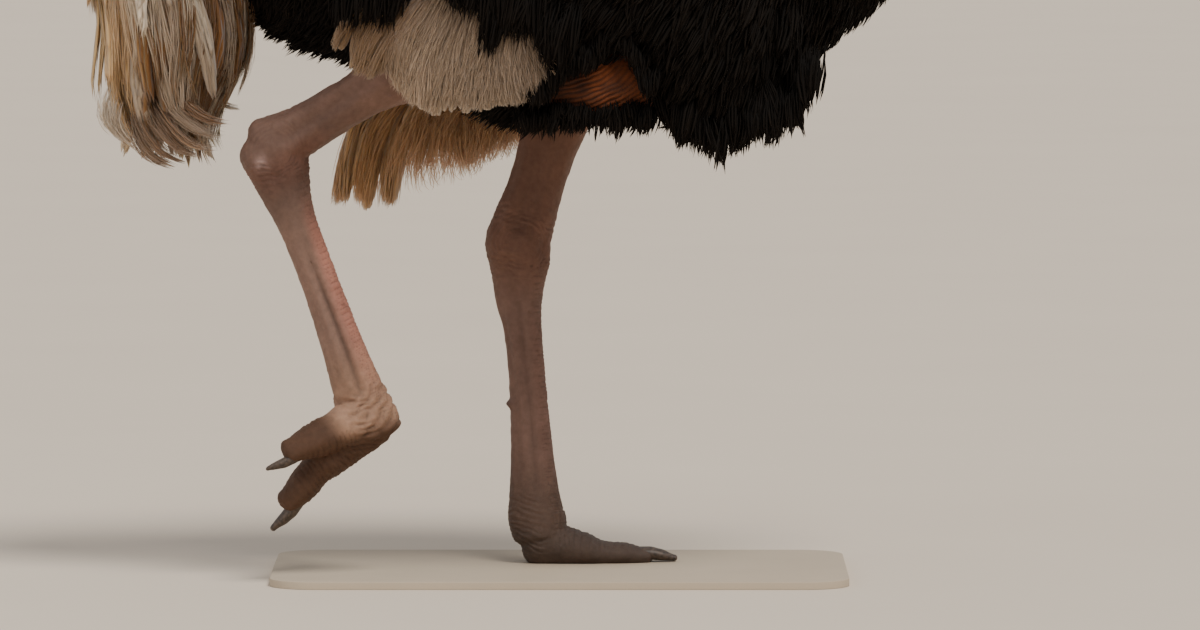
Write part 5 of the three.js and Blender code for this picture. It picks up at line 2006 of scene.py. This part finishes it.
def neck_down():
    """Short sparse bristles up the bare neck and a pale collar of small feathers at its root."""
    plumage = Plumage(neck_unwrap, SHORT)

    def bare_neck(places, looks):
        return (places[:, 2] > 1.2) * (places[:, 2] < 2.27) * 1.0

    points, normals = scatter(neck_part(), 4300, bare_neck)
    count = len(points)
    way = flat_to(rows_of([-0.15, 0.0, -1.0], count) + rng.normal(0, 0.25, (count, 3)), normals)
    length = 0.012 + 0.012 * (1 - ease(points[:, 2], 1.3, 1.8)) + 0.004 * rng.random(count)
    bend = rng.normal(0, 0.4, count)
    colour = rows_of(paint(196, 178, 156), count) * strand_shades(count, 0.25)
    root = points - normals * 0.001
    bristles(plumage, root, way, normals, normals, length, 0.55, 0.4, bend, 0.0007, (colour * 0.6, colour))

    def collar(places, looks):
        return bell(places[:, 2] + 0.35 * (places[:, 0] - 0.5), 1.235, 0.035)

    points, normals = scatter(neck_part(), 620, collar)
    count = len(points)
    way = flat_to(rows_of([-0.1, 0.0, -1.0], count) + rng.normal(0, 0.15, (count, 3)), normals)
    pale = rows_of(paint(212, 198, 178), count)
    length = rng.uniform(0.035, 0.06, count)
    tufts(plumage, points, way, normals, length, 0.006, 0.0022, 0.4, 0.4, pale * 0.5, pale, 0.6)
    return plumage


def head_down():
    """Fine dark bristles over the crown and cheeks, and the lashes."""
    plumage = Plumage(neck_unwrap, SHORT)
    points, normals = scatter(head_part(), 5600)
    p = into_head(points)
    keep = (p[:, 0] < 34) & (np.hypot(p[:, 0] - EYE_AT[0], p[:, 2] - EYE_AT[2]) > 30)
    keep &= np.hypot(p[:, 0] - EAR_AT[0], p[:, 2]) > 7
    keep &= rng.random(len(p)) < 0.35 + 0.65 * ease(p[:, 2], 0, 34)
    points, normals = points[keep], normals[keep]
    count = len(points)
    way = flat_to(rows_of([-1.0, 0.0, -0.35], count) + rng.normal(0, 0.2, (count, 3)), normals)
    length = rng.uniform(0.006, 0.013, count)
    bend = rng.normal(0, 0.3, count)
    dark = rows_of(paint(98, 80, 66), count) * strand_shades(count, 0.4)
    root = points - normals * 0.001
    bristles(plumage, root, way, normals, normals, length, 0.42, 0.2, bend, 0.0005, (dark, dark * 1.3))
    black = rows_of(paint(18, 14, 12), LASHES)
    for side in (1, -1):
        angle = np.linspace(0.1 * np.pi, 0.93 * np.pi, LASHES) + rng.normal(0, 0.02, LASHES)
        root = out_of_head(lid_line(angle, rng.uniform(1.03, 1.12, LASHES), 2, side))
        way = rows_of([0.0, side, 0.0], LASHES)
        way[:, 0], way[:, 2] = 0.45 * np.cos(angle) - 0.1, 0.1 + 0.35 * np.sin(angle)
        way = unit(way + rng.normal(0, 0.1, (LASHES, 3)))
        length = rng.uniform(0.009, 0.018, LASHES)
        bend = rng.normal(0, 0.15, LASHES)
        up, out = rows_of([0.0, 0.0, 1.0], LASHES), rows_of([0.0, side, 0.0], LASHES)
        bristles(plumage, root, way, up, out, length, 0.1, -0.7, bend, 0.0006, (black, black), 0.6)
    return plumage


# ---------- dressing the model ----------

floor_body()
skin = join(
    [
        leg_body("leg_left", LEFT_LEG, FLAT_FOOT, False),
        leg_body("leg_right", RIGHT_LEG, HUNG_FOOT, True),
        neck_body(),
        *under_body(),
        lid_rims(),
    ],
    "skin",
)
finish_piece(
    skin, "leg_skin", skin_material(),
    "trunk", "neck_lower", "neck_middle", "neck_upper", "head",
    "shank_left", "tarsus_left", "toe_inner_left", "toe_outer_left",
    "shank_right", "tarsus_right", "toe_inner_right", "toe_outer_right",
)
BILL_LIGHT, BILL_DARK = paint(172, 138, 116), paint(132, 100, 82)
CLAW_LIGHT, CLAW_DARK = paint(92, 76, 64), paint(38, 31, 26)
bill_horn = horn_material("bill_horn", BILL_LIGHT, BILL_DARK, 0.44, (40, 220, 220), "tint")
claw_horn = horn_material("claw_horn", CLAW_LIGHT, CLAW_DARK, 0.5, (200, 200, 200))
for body, cad in zip(bill_parts(), ("bill_upper", "bill_lower")):
    finish_piece(body, "bill_horn", bill_horn, cad)
eyes = eye_material()
for body, cad in zip(eye_parts(), ("eye_left", "eye_right")):
    finish_piece(body, "eye", eyes, cad)
for cad, body in claw_bodies().items():
    finish_piece(body, "claw", claw_horn, cad)
finish_piece(base_body(), "stand", base_material(), "stand_base")

black_feather = feather_material("black_feather", 0.8, 0.12)
white_plume = feather_material("white_plume", 0.8, 0.12, sheen=0.15, streaks=0.2, glow=0.35, across=4.0)
tail_plume = feather_material("tail_plume", 0.8, 0.1, sheen=0.15, streaks=0.26, glow=0.4, across=4.0)
neck_bristle = feather_material("neck_bristle", 0.7, 0.25)

for body in black_coat():
    finish_piece(body, "black_feather", black_feather)
for side, name in ((1, "left"), (-1, "right")):
    coverts = wing_coat(side)
    finish_piece(coverts.make(f"wing_coat_{name}"), "black_feather", black_feather, f"wing_{name}")
for body in (*near_plumes(-1), near_down(-1)):
    finish_piece(body, "white_plume", white_plume, "plumes_right")
for body in far_plumes(1):
    finish_piece(body, "white_plume", white_plume, "plumes_left")
for body in tail_coat():
    finish_piece(body, "tail_plume", tail_plume, "tail")
finish_piece(neck_down().make("neck_down"), "white_plume", neck_bristle)
finish_piece(head_down().make("head_down"), "black_feather", neck_bristle)
